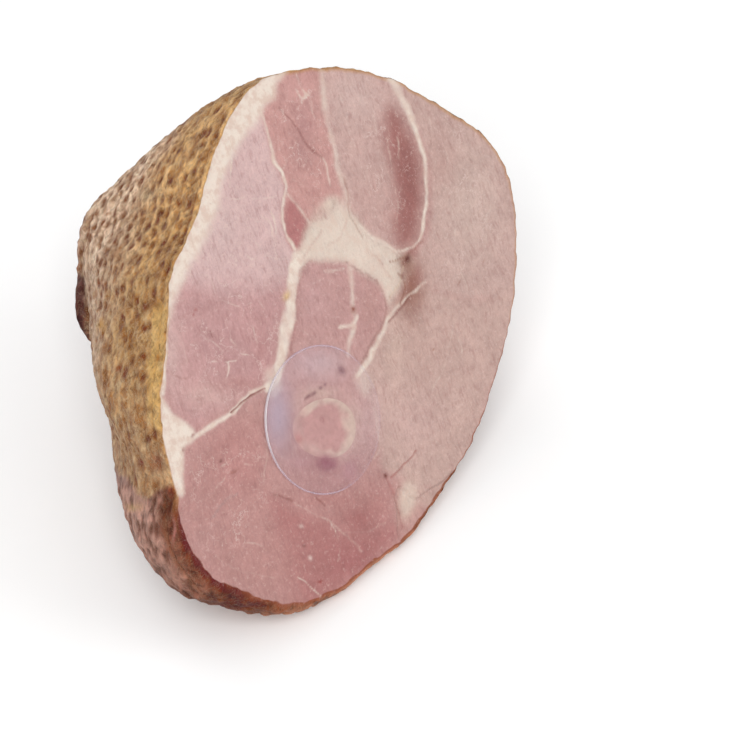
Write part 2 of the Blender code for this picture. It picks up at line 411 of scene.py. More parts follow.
def spot(pixels, centre, radii, turn=0.0):
    """Cover of a soft spot: a bell curve with a half-width for each of its own two directions."""
    off = pixels - np.asarray(centre, float)
    c, s = math.cos(math.radians(turn)), math.sin(math.radians(turn))
    across = (off[:, 0] * c + off[:, 1] * s) / radii[0]
    down = (-off[:, 0] * s + off[:, 1] * c) / radii[1]
    return np.exp(-(across**2 + down**2))


def lay_spots(paint, pixels, spots, cover=1.0):
    """Paint with soft spots over it. Each has a centre, two half-widths, a colour and a strength."""
    for centre, radii, colour, strength in spots:
        paint = lay(paint, strength * cover * spot(pixels, centre, radii), colour)
    return paint


print("cover at a spot's half-width:", np.round(spot(np.array(((3.0, 0.0),)), (0, 0), (3, 3)), 2))

# %% [markdown]
# The meat lies between two outlines at every depth: the bone's, where it was cut round it, and the
# rind's. Both could be curves to loft between, but as functions of direction and depth they serve every
# piece: the slice, the body behind it, and the bone itself.

# %% Rings of bone and rind
CRAG = 1.5 * MM
BONE_START = np.array((-1 * MM, -4 * MM))
BONE_END = np.array((33 * MM, 52 * MM))
BONE_HALF_WIDTH = 18.5 * MM
BONE_HALF_HEIGHT = 13.5 * MM
BONE_TURN = math.radians(-31)
BONE_WAIST = 0.2
BONE_EGG = 0.12
FIT_GAP = 0.02 * MM


def bone_middle(depth):
    """The bone's middle line at a depth, as x and t."""
    return between(BONE_START, BONE_END, depth / BODY_DEPTH)


def bone_ring(angle, depth, grow):
    """The leg bone's outline at a depth, as x and t: a turned, egg-shaped ellipse with a waist halfway."""
    waist = 1 - BONE_WAIST * np.sin(math.pi * np.clip(depth / BODY_DEPTH, 0, 1))
    around = angle - BONE_TURN
    wide = (BONE_HALF_WIDTH * waist + grow) * np.cos(around)
    high = (BONE_HALF_HEIGHT * waist + grow) * np.sin(around) * (1 + BONE_EGG * np.cos(around))
    x, t = bone_middle(depth)
    c, s = math.cos(BONE_TURN), math.sin(BONE_TURN)
    return x + wide * c - high * s, t + wide * s + high * c


def crags(angle, depth):
    """Unevenness of the ham's outside, mostly inward: lumps read along the true outline."""
    places = side_place(angle, depth)
    return CRAG * (0.2 + 0.35 * lumps(places, 6 * MM, 11) + 0.35 * lumps(places, 2.8 * MM, 12))


def outer_ring(angle, depth, inset):
    """The ham's outside at a depth, as x and t, set in by a distance."""
    middle_x, middle_t, radius = side(angle, depth)
    return ring_at(angle, middle_x, middle_t, radius - crags(angle, depth) - inset)


def close_rings(rows, columns):
    """Quads of a stack of closed rings whose last ring joins the first: a tube bent back into itself."""
    ring = np.arange(rows)[:, None] * columns
    k = np.arange(columns)[None, :]
    right = (k + 1) % columns
    following = (ring + columns) % (rows * columns)
    return np.stack((ring + k, following + k, following + right, ring + right), -1).reshape(-1, 4)


def split(quads):
    """Two triangles for each quad: its corners 0, 1, 2 and its corners 0, 2, 3."""
    return np.concatenate((quads[:, (0, 1, 2)], quads[:, (0, 2, 3)]))


def join_rings(*parts):
    """Parts of a surface, each its x, t and depth in rings, joined: places, depths, number of rings."""
    parts = [np.broadcast_arrays(*part) for part in parts]
    x, t, depth = (np.concatenate(rows) for rows in zip(*parts))
    return point(x, t, depth).reshape(-1, 3), depth.ravel(), len(x)


bone_width = np.ptp(bone_ring(full_turn(360), 0.0, 0)[0])
print("width of the sawn bone (mm):", np.round(bone_width / MM, 1))

# %% [markdown]
# The first slice is the flat face that the knife left, and a thin shadow behind it is where the spiral
# cut goes on. It could be a disc with a hole in it, but then its triangles would be long and thin. So the
# cut face is a grid between the two outlines. Each column of the grid runs straight from one to the
# other, so the marbling can be painted finely on it. The same columns go on over the rim and back along
# the slice, which makes one closed, bored slice.

# %% The first slice
COLUMNS = 640
FACE_ROWS = 144
FACE_ROW_SPREAD = 0.88
RIM_ROWS = 8
RIM_ROUNDING = 0.4 * MM
SLICE_THICKNESS = 4.4 * MM
SLICE_GAP = 0.15 * MM
BORE_EDGE = 0.0008

angle = full_turn(COLUMNS)
share = np.insert(np.linspace(0, 1, FACE_ROWS + 1) ** FACE_ROW_SPREAD, 1, BORE_EDGE)[:, None]
inner = bone_ring(angle, 0.0, FIT_GAP)
edge = outer_ring(angle, 0 * angle, RIM_ROUNDING)
face = between(inner, edge, share)
to_edge = np.hypot(edge[0] - inner[0], edge[1] - inner[1]) * (1 - share)

rim_turn = np.linspace(0, 1, RIM_ROWS + 1)[1:, None]
rim_depth = SLICE_THICKNESS * rim_turn + 0 * angle
rim_inset = RIM_ROUNDING * (1 - np.sin(math.pi * np.clip(rim_turn, 0, 1)) ** 0.5) * (1 - 0.6 * rim_turn)
rim = outer_ring(angle + 0 * rim_turn, rim_depth, rim_inset)
back = bone_ring(angle, SLICE_THICKNESS, FIT_GAP)

slice_places, slice_depth, slice_rings = join_rings(
    (*face, 0.0), (*rim, rim_depth), (*back, SLICE_THICKNESS))
slice_edge = np.append(to_edge, np.zeros((RIM_ROWS + 1) * COLUMNS))
slice_angle = np.tile(angle.ravel(), slice_rings)
slice_quads = close_rings(slice_rings, COLUMNS)
on_face = np.arange(len(slice_places)) < to_edge.size
on_rim = ~on_face & (np.arange(len(slice_places)) < to_edge.size + rim_depth.size)
print("slice vertices:", len(slice_places))

# %% [markdown]
# A ham's cut face shows several muscles, parted by seams of fat. They could be separate pieces, but the
# knife left them all in one plane. So each muscle was traced in the photograph and is laid in with its
# own pink, softly, and then the fat, the seams and the small marks go over the joins. The traced pixels
# are first shifted a little by lumps, so that no edge is drawn too evenly.

# %% Muscles of the cut face
FACE_PINK = (192, 149, 144)

# outline in pixels, colour, softness in pixels
MUSCLES = (
    (((262, 106), (244, 126), (230, 150), (221, 170), (215, 190), (207, 224), (195, 244), (176, 279),
      (186, 296), (215, 300), (250, 300), (290, 290), (296, 257), (287, 231), (283, 216), (287, 190),
      (284, 177), (275, 159), (266, 131)), (212, 180, 177), 6),
    (((176, 279), (215, 290), (250, 292), (290, 280), (286, 306), (287, 318), (281, 342), (280, 362),
      (274, 381), (266, 388), (240, 400), (213, 420), (193, 430), (180, 418), (167, 408), (163, 370),
      (165, 340), (168, 300)), (195, 153, 151), 14),
    (((262, 75), (290, 66), (318, 64), (323, 87), (329, 120), (336, 154), (347, 198), (351, 220),
      (335, 215), (312, 222), (300, 240), (295, 250), (287, 231), (283, 216), (287, 190), (275, 159),
      (266, 131), (262, 106)), (199, 153, 147), 5),
    (((289, 203), (296, 201), (307, 217), (312, 223), (309, 245), (298, 252), (290, 240), (286, 220)),
      (179, 123, 121), 4),
    (((319, 64), (355, 60), (388, 72), (403, 96), (412, 116), (417, 137), (423, 157), (427, 183),
      (427, 207), (423, 229), (416, 244), (399, 250), (380, 242), (358, 226), (351, 220), (347, 198),
      (336, 154), (329, 120), (323, 87)), (199, 166, 159), 5),
    (((386, 108), (400, 114), (412, 140), (420, 165), (423, 190), (421, 220), (412, 241), (398, 243),
      (392, 225), (394, 195), (390, 165), (384, 140)), (164, 114, 109), 12),
    (((388, 70), (423, 90), (457, 111), (492, 136), (514, 172), (520, 200), (522, 230), (516, 290),
      (480, 300), (440, 290), (425, 281), (416, 262), (422, 246), (429, 229), (432, 207), (431, 183),
      (427, 157), (420, 137), (415, 116), (405, 96)), (198, 167, 159), 5),
    (((392, 300), (425, 281), (440, 290), (480, 300), (518, 290), (514, 330), (494, 389), (471, 450),
      (452, 484), (433, 511), (418, 500), (400, 478), (385, 470), (378, 440), (372, 400), (362, 367),
      (376, 339), (385, 318)), (199, 168, 159), 8),
    (((298, 284), (303, 268), (312, 260), (347, 261), (358, 270), (376, 281), (387, 300), (385, 318),
      (376, 339), (362, 362), (350, 378), (330, 388), (305, 396), (286, 392), (284, 375), (290, 352),
      (293, 336), (296, 312)), (193, 152, 148), 5),
    (((312, 222), (332, 198), (345, 210), (352, 215), (370, 232), (385, 245), (403, 252), (414, 264),
      (405, 282), (392, 302), (385, 290), (376, 281), (358, 270), (347, 261), (312, 260), (298, 270),
      (295, 259), (301, 245)), (219, 201, 187), 6),
    (((176, 500), (186, 470), (215, 440), (262, 420), (268, 500), (300, 520), (330, 530), (340, 560),
      (325, 601), (288, 607), (245, 591), (217, 582), (201, 568), (190, 551), (180, 530)),
      (187, 142, 137), 16),
    (((268, 498), (300, 510), (329, 520), (343, 532), (368, 532), (387, 524), (404, 528), (398, 542),
      (362, 572), (325, 601), (300, 604), (290, 560)), (178, 125, 122), 14),
)

print("muscles:", len(MUSCLES))

# %% [markdown]
# Within a muscle the pink drifts from pale to deep. That could be noise too, but the photograph shows
# where it is dark and pale, so each change is a soft spot at its own place. The thick fat is traced.

# %% Changes of pink, and fat
# centre in pixels, half-widths in pixels, colour, strength
BLUSHES = (
    ((290, 95), (22, 22), (207, 162, 157), 0.5), ((305, 122), (10, 26), (184, 140, 137), 0.8),
    ((355, 95), (24, 26), (208, 179, 172), 0.9), ((372, 205), (20, 30), (193, 158, 151), 0.7),
    ((409, 188), (10, 38), (150, 99, 95), 0.65), ((470, 200), (28, 60), (206, 181, 171), 0.7),
    ((222, 225), (12, 30), (216, 188, 184), 0.7), ((236, 285), (30, 14), (205, 168, 166), 0.7),
    ((208, 395), (26, 14), (206, 170, 164), 0.8), ((222, 345), (22, 26), (190, 147, 146), 0.6),
    ((312, 300), (14, 26), (199, 159, 157), 0.7), ((372, 305), (10, 26), (187, 145, 139), 0.7),
    ((415, 420), (26, 34), (204, 171, 164), 0.8), ((428, 345), (34, 30), (196, 164, 155), 0.6),
    ((240, 470), (24, 24), (186, 136, 132), 0.8), ((232, 440), (24, 16), (188, 138, 134), 0.7),
    ((350, 560), (26, 18), (171, 114, 113), 0.8), ((285, 560), (30, 20), (184, 137, 132), 0.6),
    ((380, 500), (16, 18), (180, 128, 124), 0.6), ((205, 540), (16, 20), (189, 147, 142), 0.6),
    ((409, 503), (10, 20), (209, 183, 168), 0.9), ((330, 482), (40, 20), (174, 126, 123), 0.6),
    ((411, 288), (13, 32), (150, 106, 94), 0.95), ((405, 262), (8, 10), (140, 92, 80), 0.8),
    ((302, 150), (14, 20), (184, 142, 138), 0.6), ((360, 520), (24, 18), (168, 110, 108), 0.8),
    ((312, 560), (20, 16), (172, 120, 117), 0.7), ((322, 364), (26, 13), (210, 176, 170), 0.75),
    ((368, 420), (16, 34), (202, 168, 164), 0.7), ((326, 463), (12, 7), (150, 92, 102), 0.85),
    ((350, 470), (9, 12), (176, 128, 136), 0.5), ((302, 462), (10, 9), (186, 140, 142), 0.5),
    ((286, 420), (8, 30), (184, 146, 146), 0.5), ((395, 345), (9, 30), (206, 178, 166), 0.5),
    ((172, 350), (9, 40), (214, 182, 176), 0.7), ((250, 300), (26, 12), (200, 158, 156), 0.5),
    ((262, 345), (12, 30), (186, 138, 136), 0.5), ((240, 385), (24, 8), (184, 134, 130), 0.5),
    ((322, 395), (17, 6), (210, 180, 166), 0.7), ((352, 418), (9, 16), (210, 180, 168), 0.7),
    ((353, 442), (9, 11), (206, 174, 164), 0.6), ((299, 405), (7, 9), (200, 166, 158), 0.6),
    ((290, 430), (6, 18), (184, 142, 138), 0.6), ((345, 458), (8, 6), (200, 164, 156), 0.6),
    ((440, 160), (16, 30), (190, 154, 146), 0.6), ((330, 500), (30, 8), (176, 124, 120), 0.5),
    ((322, 215), (12, 10), (204, 170, 160), 0.7), ((378, 262), (10, 8), (206, 176, 164), 0.6),
)

# outline in pixels, softness in pixels, strength
FAT = (
    (((250, 74), (236, 96), (224, 120), (216, 146), (222, 152), (238, 136), (250, 128), (262, 116),
      (270, 96), (282, 76), (290, 66), (270, 68)), 8, 0.85),
    (((258, 70), (243, 88), (230, 98), (219, 120), (210, 136), (205, 160), (196, 190), (189, 216),
      (181, 240), (164, 268), (158, 297), (158, 330), (163, 350), (170, 318), (175, 298), (184, 279),
      (201, 246), (212, 224), (219, 190), (226, 170), (235, 150), (248, 127), (264, 108), (276, 84)),
      10, 1.0),
    (((156, 388), (163, 400), (171, 413), (184, 422), (194, 430), (194, 441), (184, 450), (183, 478),
      (182, 494), (170, 486), (162, 460), (155, 424)), 6, 1.0),
    (((345, 190), (338, 206), (326, 216), (313, 226), (304, 240), (297, 254), (291, 268), (296, 276),
      (306, 266), (318, 262), (346, 264), (360, 272), (378, 284), (387, 300), (392, 306), (398, 290),
      (402, 268), (398, 252), (384, 246), (370, 236), (358, 224), (352, 212)), 8, 0.45),
    (((266, 372), (281, 366), (284, 384), (276, 398), (266, 396)), 7, 0.5),
    (((352, 372), (362, 362), (370, 372), (374, 388), (366, 398), (356, 388)), 8, 0.42),
    (((401, 486), (412, 482), (420, 496), (414, 514), (404, 516)), 6, 0.45),
)


def paint_muscles(pixels):
    """Paint of the cut face: the muscles and their softer changes of colour."""
    paint = np.tile(screen(*FACE_PINK), (len(pixels), 1))
    for outline, colour, softness in MUSCLES:
        paint = lay(paint, area(pixels, outline, softness), colour)
    return lay_spots(paint, pixels, BLUSHES)


print("changes of pink:", len(BLUSHES), "areas of fat:", len(FAT))

# %% [markdown]
# Seams are where two muscles part. They could be modelled as grooves, but most are thinner than a
# millimetre, so they are lines with a width at each end. Pale ones are fat: they add to a soft field that
# the finish later turns into fat with a feathered edge. Dark ones are cracks, which are painted, pressed
# in a little and cut through the fat.

# %% Seams and cracks
FATTY = None
DARK = (134, 84, 78)
RED = (160, 92, 86)

# line in pixels, widths at its start and end, softness, colour, strength, height in mm
SEAMS = (
    (((262, 111), (266, 131), (275, 159), (284, 177), (287, 190), (283, 216), (287, 231), (295, 250)),
      2, 3, 3, FATTY, 0.95, -0.2),
    (((287, 190), (296, 201), (307, 217), (312, 223)), 2, 3, 3, FATTY, 0.6, -0.2),
    (((319, 64), (323, 87), (325, 102), (329, 120), (332, 139), (336, 154), (342, 176), (347, 198),
      (351, 220)), 6, 8, 7, FATTY, 0.5, -0.2),
    (((279, 107), (295, 125), (310, 146), (321, 157)), 1.5, 2, 2, DARK, 0.5, -0.3),
    (((321, 157), (329, 168), (332, 187)), 2, 2, 2, FATTY, 0.6, -0.1),
    (((297, 89), (303, 98), (310, 92)), 2, 2, 2, FATTY, 0.8, 0),
    (((303, 98), (301, 104)), 2, 1.5, 2, FATTY, 0.7, 0),
    (((312, 100), (314, 116)), 2, 1.5, 2, FATTY, 0.6, 0),
    (((384, 70), (396, 86), (408, 106), (415, 126)), 12, 8, 7, FATTY, 0.72, -0.1),
    (((412, 116), (417, 137), (423, 157), (427, 183)), 6, 4, 4, FATTY, 0.8, -0.2),
    (((425, 170), (427, 183), (427, 207), (423, 229), (416, 244), (399, 250), (380, 242), (358, 226)),
      2.5, 3, 3, FATTY, 0.88, -0.2),
    (((397, 137), (398, 159)), 1.5, 1.5, 2, FATTY, 0.5, 0),
    (((379, 150), (388, 177)), 1.5, 1.5, 2, FATTY, 0.4, 0),
    (((446, 142), (446, 195)), 2, 2, 3, FATTY, 0.4, 0),
    (((298, 257), (292, 285), (290, 306), (289, 318), (285, 342), (282, 362), (277, 378), (268, 388)),
      13, 11, 5, FATTY, 0.78, -0.1),
    (((270, 385), (251, 395), (242, 404), (231, 414), (213, 425), (193, 439), (181, 448)),
      5, 5, 4, FATTY, 0.8, -0.2),
    (((265, 388), (250, 398), (232, 413)), 1.2, 1.6, 1.5, (124, 66, 56), 0.75, -0.7),
    (((266, 388), (267, 425), (266, 460), (265, 483)), 3, 2, 4, FATTY, 0.35, 0),
    (((425, 281), (400, 306), (389, 319), (381, 339), (370, 356), (362, 367), (358, 375)),
      2, 7, 4, FATTY, 0.72, -0.2),
    (((412, 296), (400, 311), (388, 325)), 1.5, 1.5, 2, DARK, 0.6, -0.5),
    (((360, 375), (365, 385), (372, 400), (380, 440), (375, 460)), 2, 2, 3, FATTY, 0.45, 0),
    (((352, 262), (353, 293), (354, 312), (351, 333), (350, 355)), 6, 6, 5, FATTY, 0.55, -0.1),
    (((312, 260), (300, 272), (298, 284), (296, 312), (293, 336), (292, 352)),
      2, 2, 2, DARK, 0.25, -0.2),
    (((347, 261), (358, 270), (376, 281), (387, 300), (385, 318), (376, 339), (362, 362)),
      2, 2, 2, DARK, 0.3, -0.2),
    (((326, 271), (346, 270)), 3, 3, 3, FATTY, 0.6, 0),
    (((340, 328), (348, 324), (356, 317)), 5, 6, 3, FATTY, 0.75, 0),
    (((418, 451), (408, 461), (393, 478)), 1.2, 1.5, 2, RED, 0.55, -0.4),
    (((387, 476), (395, 495), (400, 510), (408, 530)), 1.5, 1.5, 2.5, RED, 0.45, -0.3),
    (((274, 493), (283, 497), (292, 502)), 2, 2, 2, DARK, 0.5, -0.3),
    (((292, 502), (309, 510), (329, 520), (343, 532), (354, 542), (362, 551)),
      2, 2.5, 3, FATTY, 0.38, 0),
    (((317, 497), (326, 505)), 2, 2, 2, DARK, 0.5, -0.2),
    (((343, 532), (368, 532), (387, 524)), 2, 2, 3, FATTY, 0.3, 0),
    (((209, 520), (223, 503), (240, 493)), 1.5, 1.5, 2, (166, 140, 138), 0.6, 0),
    (((298, 576), (314, 590), (324, 599)), 1.5, 1.5, 1.5, FATTY, 0.6, 0),
    (((168, 372), (177, 378), (185, 380)), 1.5, 1.5, 2, DARK, 0.35, 0),
    (((210, 331), (212, 336)), 1.5, 1.5, 1.5, DARK, 0.6, 0),
    (((326, 384), (315, 394), (304, 400)), 2, 2, 2, (120, 72, 76), 0.7, -0.3),
    (((315, 160), (300, 190), (296, 201)), 1.2, 1.2, 2, FATTY, 0.35, 0),
    (((232, 150), (246, 165), (256, 190)), 1.2, 1.2, 2, FATTY, 0.3, 0),
    (((345, 110), (356, 150), (368, 190)), 1.4, 1.4, 3, FATTY, 0.3, 0),
    (((455, 320), (446, 360), (430, 400)), 1.4, 1.4, 3, FATTY, 0.4, 0),
    (((215, 555), (240, 570), (275, 580)), 1.5, 1.5, 3, FATTY, 0.35, 0),
    (((169, 290), (168, 312), (167, 340), (165, 368), (163, 396)), 4, 5, 4, FATTY, 0.95, 0),
    (((345, 178), (349, 200), (352, 222), (362, 240)), 1.2, 1.5, 2, (150, 108, 90), 0.45, -0.3),
    (((300, 262), (312, 246), (322, 232)), 1.5, 1.5, 3, (198, 156, 146), 0.6, 0),
    (((330, 244), (342, 236), (346, 222)), 1.5, 1.5, 3, (200, 160, 148), 0.5, 0),
    (((366, 250), (380, 262), (392, 280)), 1.5, 1.5, 3, (196, 156, 142), 0.5, 0),
    (((390, 262), (402, 258), (414, 250), (424, 240)), 1.5, 1.2, 1.5, (150, 104, 84), 0.6, -0.3),
    (((398, 276), (404, 290), (402, 304)), 1.5, 1.2, 1.5, (140, 92, 76), 0.6, -0.3),
    (((392, 300), (399, 282), (404, 266)), 1.2, 1.2, 1.5, (222, 196, 172), 0.5, 0),
)

print("seams:", len(SEAMS))

# %% [markdown]
# Finer veins of fat branch through the muscles. Noise could make them all, but noise does not branch. So
# a net of them on the left and faint single ones elsewhere were traced, with the few spots that stand out.

# %% Veins and spots
# lines in pixels: the net of veins, and the faint ones
VEINS = (
    ((215, 184), (228, 197), (250, 198), (276, 196)),
    ((234, 238), (242, 246), (253, 259), (267, 257), (281, 260)),
    ((262, 218), (271, 225), (273, 243), (276, 256)),
    ((231, 154), (232, 170), (229, 186)),
    ((200, 334), (207, 339), (213, 341), (220, 347), (224, 352)),
    ((231, 339), (238, 347), (240, 353), (249, 354)),
    ((213, 362), (224, 363), (235, 361)),
    ((228, 363), (229, 372), (227, 381)),
    ((247, 323), (255, 330), (258, 342)),
    ((298, 74), (306, 92), (317, 95)),
    ((301, 102), (309, 89)),
    ((281, 260), (288, 258), (295, 255)),
    ((262, 253), (255, 242), (250, 230)),
    ((272, 211), (276, 228), (275, 243)),
    ((280, 140), (286, 152), (283, 168)),
)
FAINT_VEINS = (
    ((182, 343), (184, 360), (185, 377)), ((171, 299), (180, 300), (189, 298)), ((430, 115), (434, 150),
    (433, 195)), ((387, 131), (392, 165), (395, 192), (398, 224)), ((360, 100), (366, 130), (364, 160)),
    ((312, 285), (322, 279), (334, 283)), ((300, 330), (312, 338), (326, 336)), ((206, 505), (214, 490),
    (226, 478)), ((240, 540), (262, 548), (280, 560)), ((330, 520), (340, 540), (338, 560)), ((455, 330),
    (463, 350), (460, 372)), ((470, 230), (462, 262), (468, 290)), ((410, 330), (424, 340), (436, 336)),
    ((188, 400), (200, 396), (214, 399)), ((200, 270), (212, 280), (216, 296)), ((246, 200), (244, 214),
    (250, 226)), ((295, 180), (306, 190), (318, 186)), ((222, 300), (236, 306), (252, 302)), ((190, 320),
    (204, 314), (214, 318)), ((260, 300), (268, 318), (264, 336)), ((340, 96), (346, 120), (352, 150)),
    ((372, 110), (378, 140), (382, 176)), ((366, 170), (372, 196), (380, 220)), ((452, 210), (456, 240),
    (450, 268)), ((486, 180), (490, 210), (486, 240)), ((215, 470), (232, 462), (250, 466)),
)

PALE_SPOT = (226, 203, 194)

# centre in pixels, half-widths in pixels, colour, strength
SPOTS = (
    ((354, 310), (2.6, 3), (142, 84, 66), 0.9), ((408, 259), (3, 4), (92, 46, 42), 0.95), ((401, 277),
    (1.8, 2.2), (120, 70, 64), 0.8), ((387, 476), (3, 3), (110, 58, 54), 0.85), ((286, 295), (4, 4.5),
    (227, 197, 141), 0.8), ((197, 309), (1.6, 1.6), (158, 88, 84), 0.7), ((194, 314), (1.5, 1.5),
    (158, 88, 84), 0.6), ((223, 460), (1.6, 1.6), (110, 66, 64), 0.8), ((193, 436), (2.2, 2),
    (122, 76, 64), 0.75), ((183, 449), (2.2, 2), (122, 76, 64), 0.7), ((340, 372), (5, 4), (124, 78, 82),
    0.8), ((309, 558), (2, 2), PALE_SPOT, 0.8), ((301, 526), (2, 2), PALE_SPOT, 0.7), ((303, 546),
    (1.6, 1.6), (116, 70, 68), 0.7), ((322, 582), (2.6, 2), (150, 70, 66), 0.8), ((326, 462), (8, 6),
    (158, 104, 112), 0.7),
)


def paint_seams(paint, pixels, unevenness):
    """The paint with cracks and marks laid over it, the soft field of fat, and the height in mm."""
    height = np.zeros(len(pixels))
    fat = np.zeros(len(pixels))
    cracked = np.zeros(len(pixels))
    for outline, softness, strength in FAT:
        fat = np.maximum(fat, strength * area(pixels, outline, softness))
    for line, start, end, softness, colour, strength, press in SEAMS:
        if colour is FATTY:
            cover = line_cover(pixels, line, 0.9 * start, 0.9 * end, softness + 2)
            fat = np.maximum(fat, strength * cover * (0.95 + 0.3 * unevenness))
        else:
            cover = line_cover(pixels, line, start, end, softness)
            paint = lay(paint, strength * cover, colour)
            cracked = np.maximum(cracked, strength * cover)
        height += press * cover
    for strength, lines in ((0.62, VEINS), (0.40, FAINT_VEINS)):
        for line in lines:
            cover = line_cover(pixels, line, 1.6, 1.2, 3.0)
            fat = np.maximum(fat, strength * cover * (0.75 + 0.9 * unevenness))
    fat = fat * (1 - cracked)
    for centre, radii, colour, strength in SPOTS:
        cover = strength * spot(pixels, centre, radii)
        paint = lay(paint, cover, colour)
        fat = fat * (1 - cover)
    return paint, fat, height


print("veins:", len(VEINS) + len(FAINT_VEINS), "spots:", len(SPOTS))

# %% [markdown]
# The outside has two skins: rind over the upper left, and bare lean meat that browned in the oven below.
# Each could be a piece of its own, but they grow into each other. So one cover from 0 to 1 says where the
# rind is. Its border wanders, and follows the photograph where it shows.

# %% Rind and lean
RIND_FROM = math.radians(40)
RIND_TO = math.radians(204)
RIND_EDGE = math.radians(3)
WANDER_WIDE = math.radians(9)
WANDER_FINE = math.radians(4)
ON_VIEW_FROM = (84, 90)
ON_VIEW_TO = (300, 306)
LOBE_DEPTHS = (96 * MM, 106 * MM)

# outlines in pixels of the bare lean that shows beside the rind
LEAN_BELOW = (
    (92, 474), (124, 476), (131, 484), (139, 492), (147, 498), (156, 491), (164, 486), (178, 486),
    (196, 500), (210, 640), (90, 640),
)
DARK_LOBE = (
    (84, 284), (85, 316), (89, 339), (93, 360), (97, 374), (84, 380), (66, 340), (66, 290), (76, 276),
)


def turned(angle, low, high):
    """0 before one direction round the ham and 1 after another, both in degrees."""
    return ease(angle, math.radians(low), math.radians(high))


def on_view(angle):
    """1 for the directions round the ham that the photograph shows, 0 for the rest."""
    return turned(angle, *ON_VIEW_FROM) * (1 - turned(angle, *ON_VIEW_TO))


def seen(angle, depth):
    """1 where the side turns toward the camera, 0 where not: the cross product of two small steps."""
    depth = np.clip(depth, 0, BODY_DEPTH - 1 * MM)
    here = side_place(angle, depth)
    outward = np.cross(side_place(angle, depth + 1 * MM) - here, side_place(angle + 0.01, depth) - here)
    outward /= np.linalg.norm(outward, axis=1)[:, None]
    return ease(outward @ VIEW_BACK, -0.12, 0.02)


def rind_cover(angle, depth, places, pixels):
    """Cover of the rind: 1 between its two directions, which wander, but not on the bare lean."""
    wander = WANDER_WIDE * lumps(places, 16 * MM, 31) + WANDER_FINE * lumps(places, 5 * MM, 32)
    wander = wander * (1 - 0.7 * on_view(angle))
    after_start = ease(angle + wander, RIND_FROM - RIND_EDGE, RIND_FROM + RIND_EDGE)
    before_end = 1 - ease(angle + wander, RIND_TO - RIND_EDGE, RIND_TO + RIND_EDGE)
    lobe = area(pixels, DARK_LOBE, 1.2) * ease(depth, *LOBE_DEPTHS)
    bare = np.maximum(area(pixels, LEAN_BELOW, 2.0), lobe) * on_view(angle)
    return after_start * before_end * (1 - bare)


print("rind from", round(math.degrees(RIND_FROM)), "to", round(math.degrees(RIND_TO)), "degrees round")

# %% [markdown]
# The net that the ham hung in pressed dimples into the rind. They could be cut one by one, but a net is
# itself a lattice, so a staggered lattice makes them, and no two dimples are alike.

# %% The net's dimples
DIMPLES_ROUND = 112
DIMPLE_PITCH = 7.5 * MM
DIMPLE_LANES = 19
DIMPLE_HALF_WIDTH = 2.7 * MM
DIMPLE_HEIGHT = -0.8
DIMPLE_SHIFT = 0.6
FAINTEST_DIMPLE = 0.15
LANE_BEND = 0.22
ROUND_BEND = 0.3


def dimple_cover(angle, depth, uneven):
    """Cover of the net's dimples: bell curves on a staggered lattice, each shifted by its own draw.

    The lattice itself is bent by two arrays of unevenness, across its lanes and along them.
    """
    draws = np.random.default_rng(71).uniform(0, 1, (3, DIMPLES_ROUND, DIMPLE_LANES))
    across = depth / DIMPLE_PITCH + LANE_BEND * uneven[0]
    around = (angle / (2 * math.pi) * DIMPLES_ROUND + ROUND_BEND * uneven[1]) % DIMPLES_ROUND
    arc = side(angle, np.clip(depth, 0, BODY_DEPTH))[2] * 2 * math.pi / DIMPLES_ROUND
    cover = np.zeros_like(depth)
    for step_across in (-1, 0, 1):
        lane = np.clip(np.floor(across).astype(int) + step_across, 0, DIMPLE_LANES - 1)
        stagger = 0.5 * (lane % 2)
        for step_around in (-1, 0, 1):
            cell = np.floor(around - stagger).astype(int) + step_around
            shift_around, shift_across, strength = draws[:, cell % DIMPLES_ROUND, lane]
            off_around = (around - stagger - cell - 0.5 - DIMPLE_SHIFT * (shift_around - 0.5)) * arc
            off_across = (across - lane - 0.5 - DIMPLE_SHIFT * (shift_across - 0.5)) * DIMPLE_PITCH
            bell = np.exp(-((off_around**2 + off_across**2) / DIMPLE_HALF_WIDTH**2))
            cover = np.maximum(cover, bell * (FAINTEST_DIMPLE + (1 - FAINTEST_DIMPLE) * strength**1.2))
    return cover


print("dimples round the ham:", DIMPLES_ROUND)

# %% [markdown]
# The rind is golden near the cut and paler toward the shank, with brown blotches, creases darkened by
# painted shade, and pale threads that are partly painted highlight. The lean is brown and ridged, darkest
# along the cut, with painted shade in the hollows between its scales. Pictures could be wrapped round it,
# but they would stretch. So each feature is laid by a cover, and the same lumps that colour it raise it.

# %% Paint of the outside
GOLDEN = (206, 163, 110)
RIND_FAR = (230, 200, 174)
RIND_LOW = (178, 144, 114)
RIND_THREAD_AND_HIGHLIGHT = (230, 202, 162)
TOP_PAINTED_LIGHT = 0.40
RIND_LIGHT = 1.12
DIMPLE_BROWN = (120, 58, 16)
BLOTCH_BROWN = (150, 88, 34)
CREVICE_SHADE_BROWN = (130, 78, 38)
LEAN = (188, 144, 130)
LEAN_LOW = (114, 64, 46)
LEAN_CREVICE_SHADE = (84, 42, 30)
UNDERSIDE = (196, 134, 106)
SHANK_MEAT = (146, 100, 88)
MAROON = (78, 46, 46)
BAND_GOLD = (228, 184, 116)

# depths over which the rind pales and the lean lightens behind the cut, and heights above the floor
FAR_DEPTHS = (30 * MM, 78 * MM)
LEAN_DEPTHS = (4 * MM, 15 * MM)
FLOOR_HEIGHTS = (4 * MM, 26 * MM)

# directions round the ham, in degrees: where the painted light on the top fades, the low rind, and the low
# lean
PAINTED_LIGHT_FADES = (105, 150)
LOW_RIND_FROM = (150, 182)
LOW_LEAN_FROM = (192, 212)
LOW_LEAN_FADES = (285, 350)

# the bare lean's ridges slant: this turns and stretches the lumps that they are read from
LEAN_SLANT = math.radians(38)
LEAN_TURN = np.array((
    (0.5, 0, 0),
    (0, math.cos(LEAN_SLANT), -math.sin(LEAN_SLANT)),
    (0, math.sin(LEAN_SLANT), math.cos(LEAN_SLANT)),
))

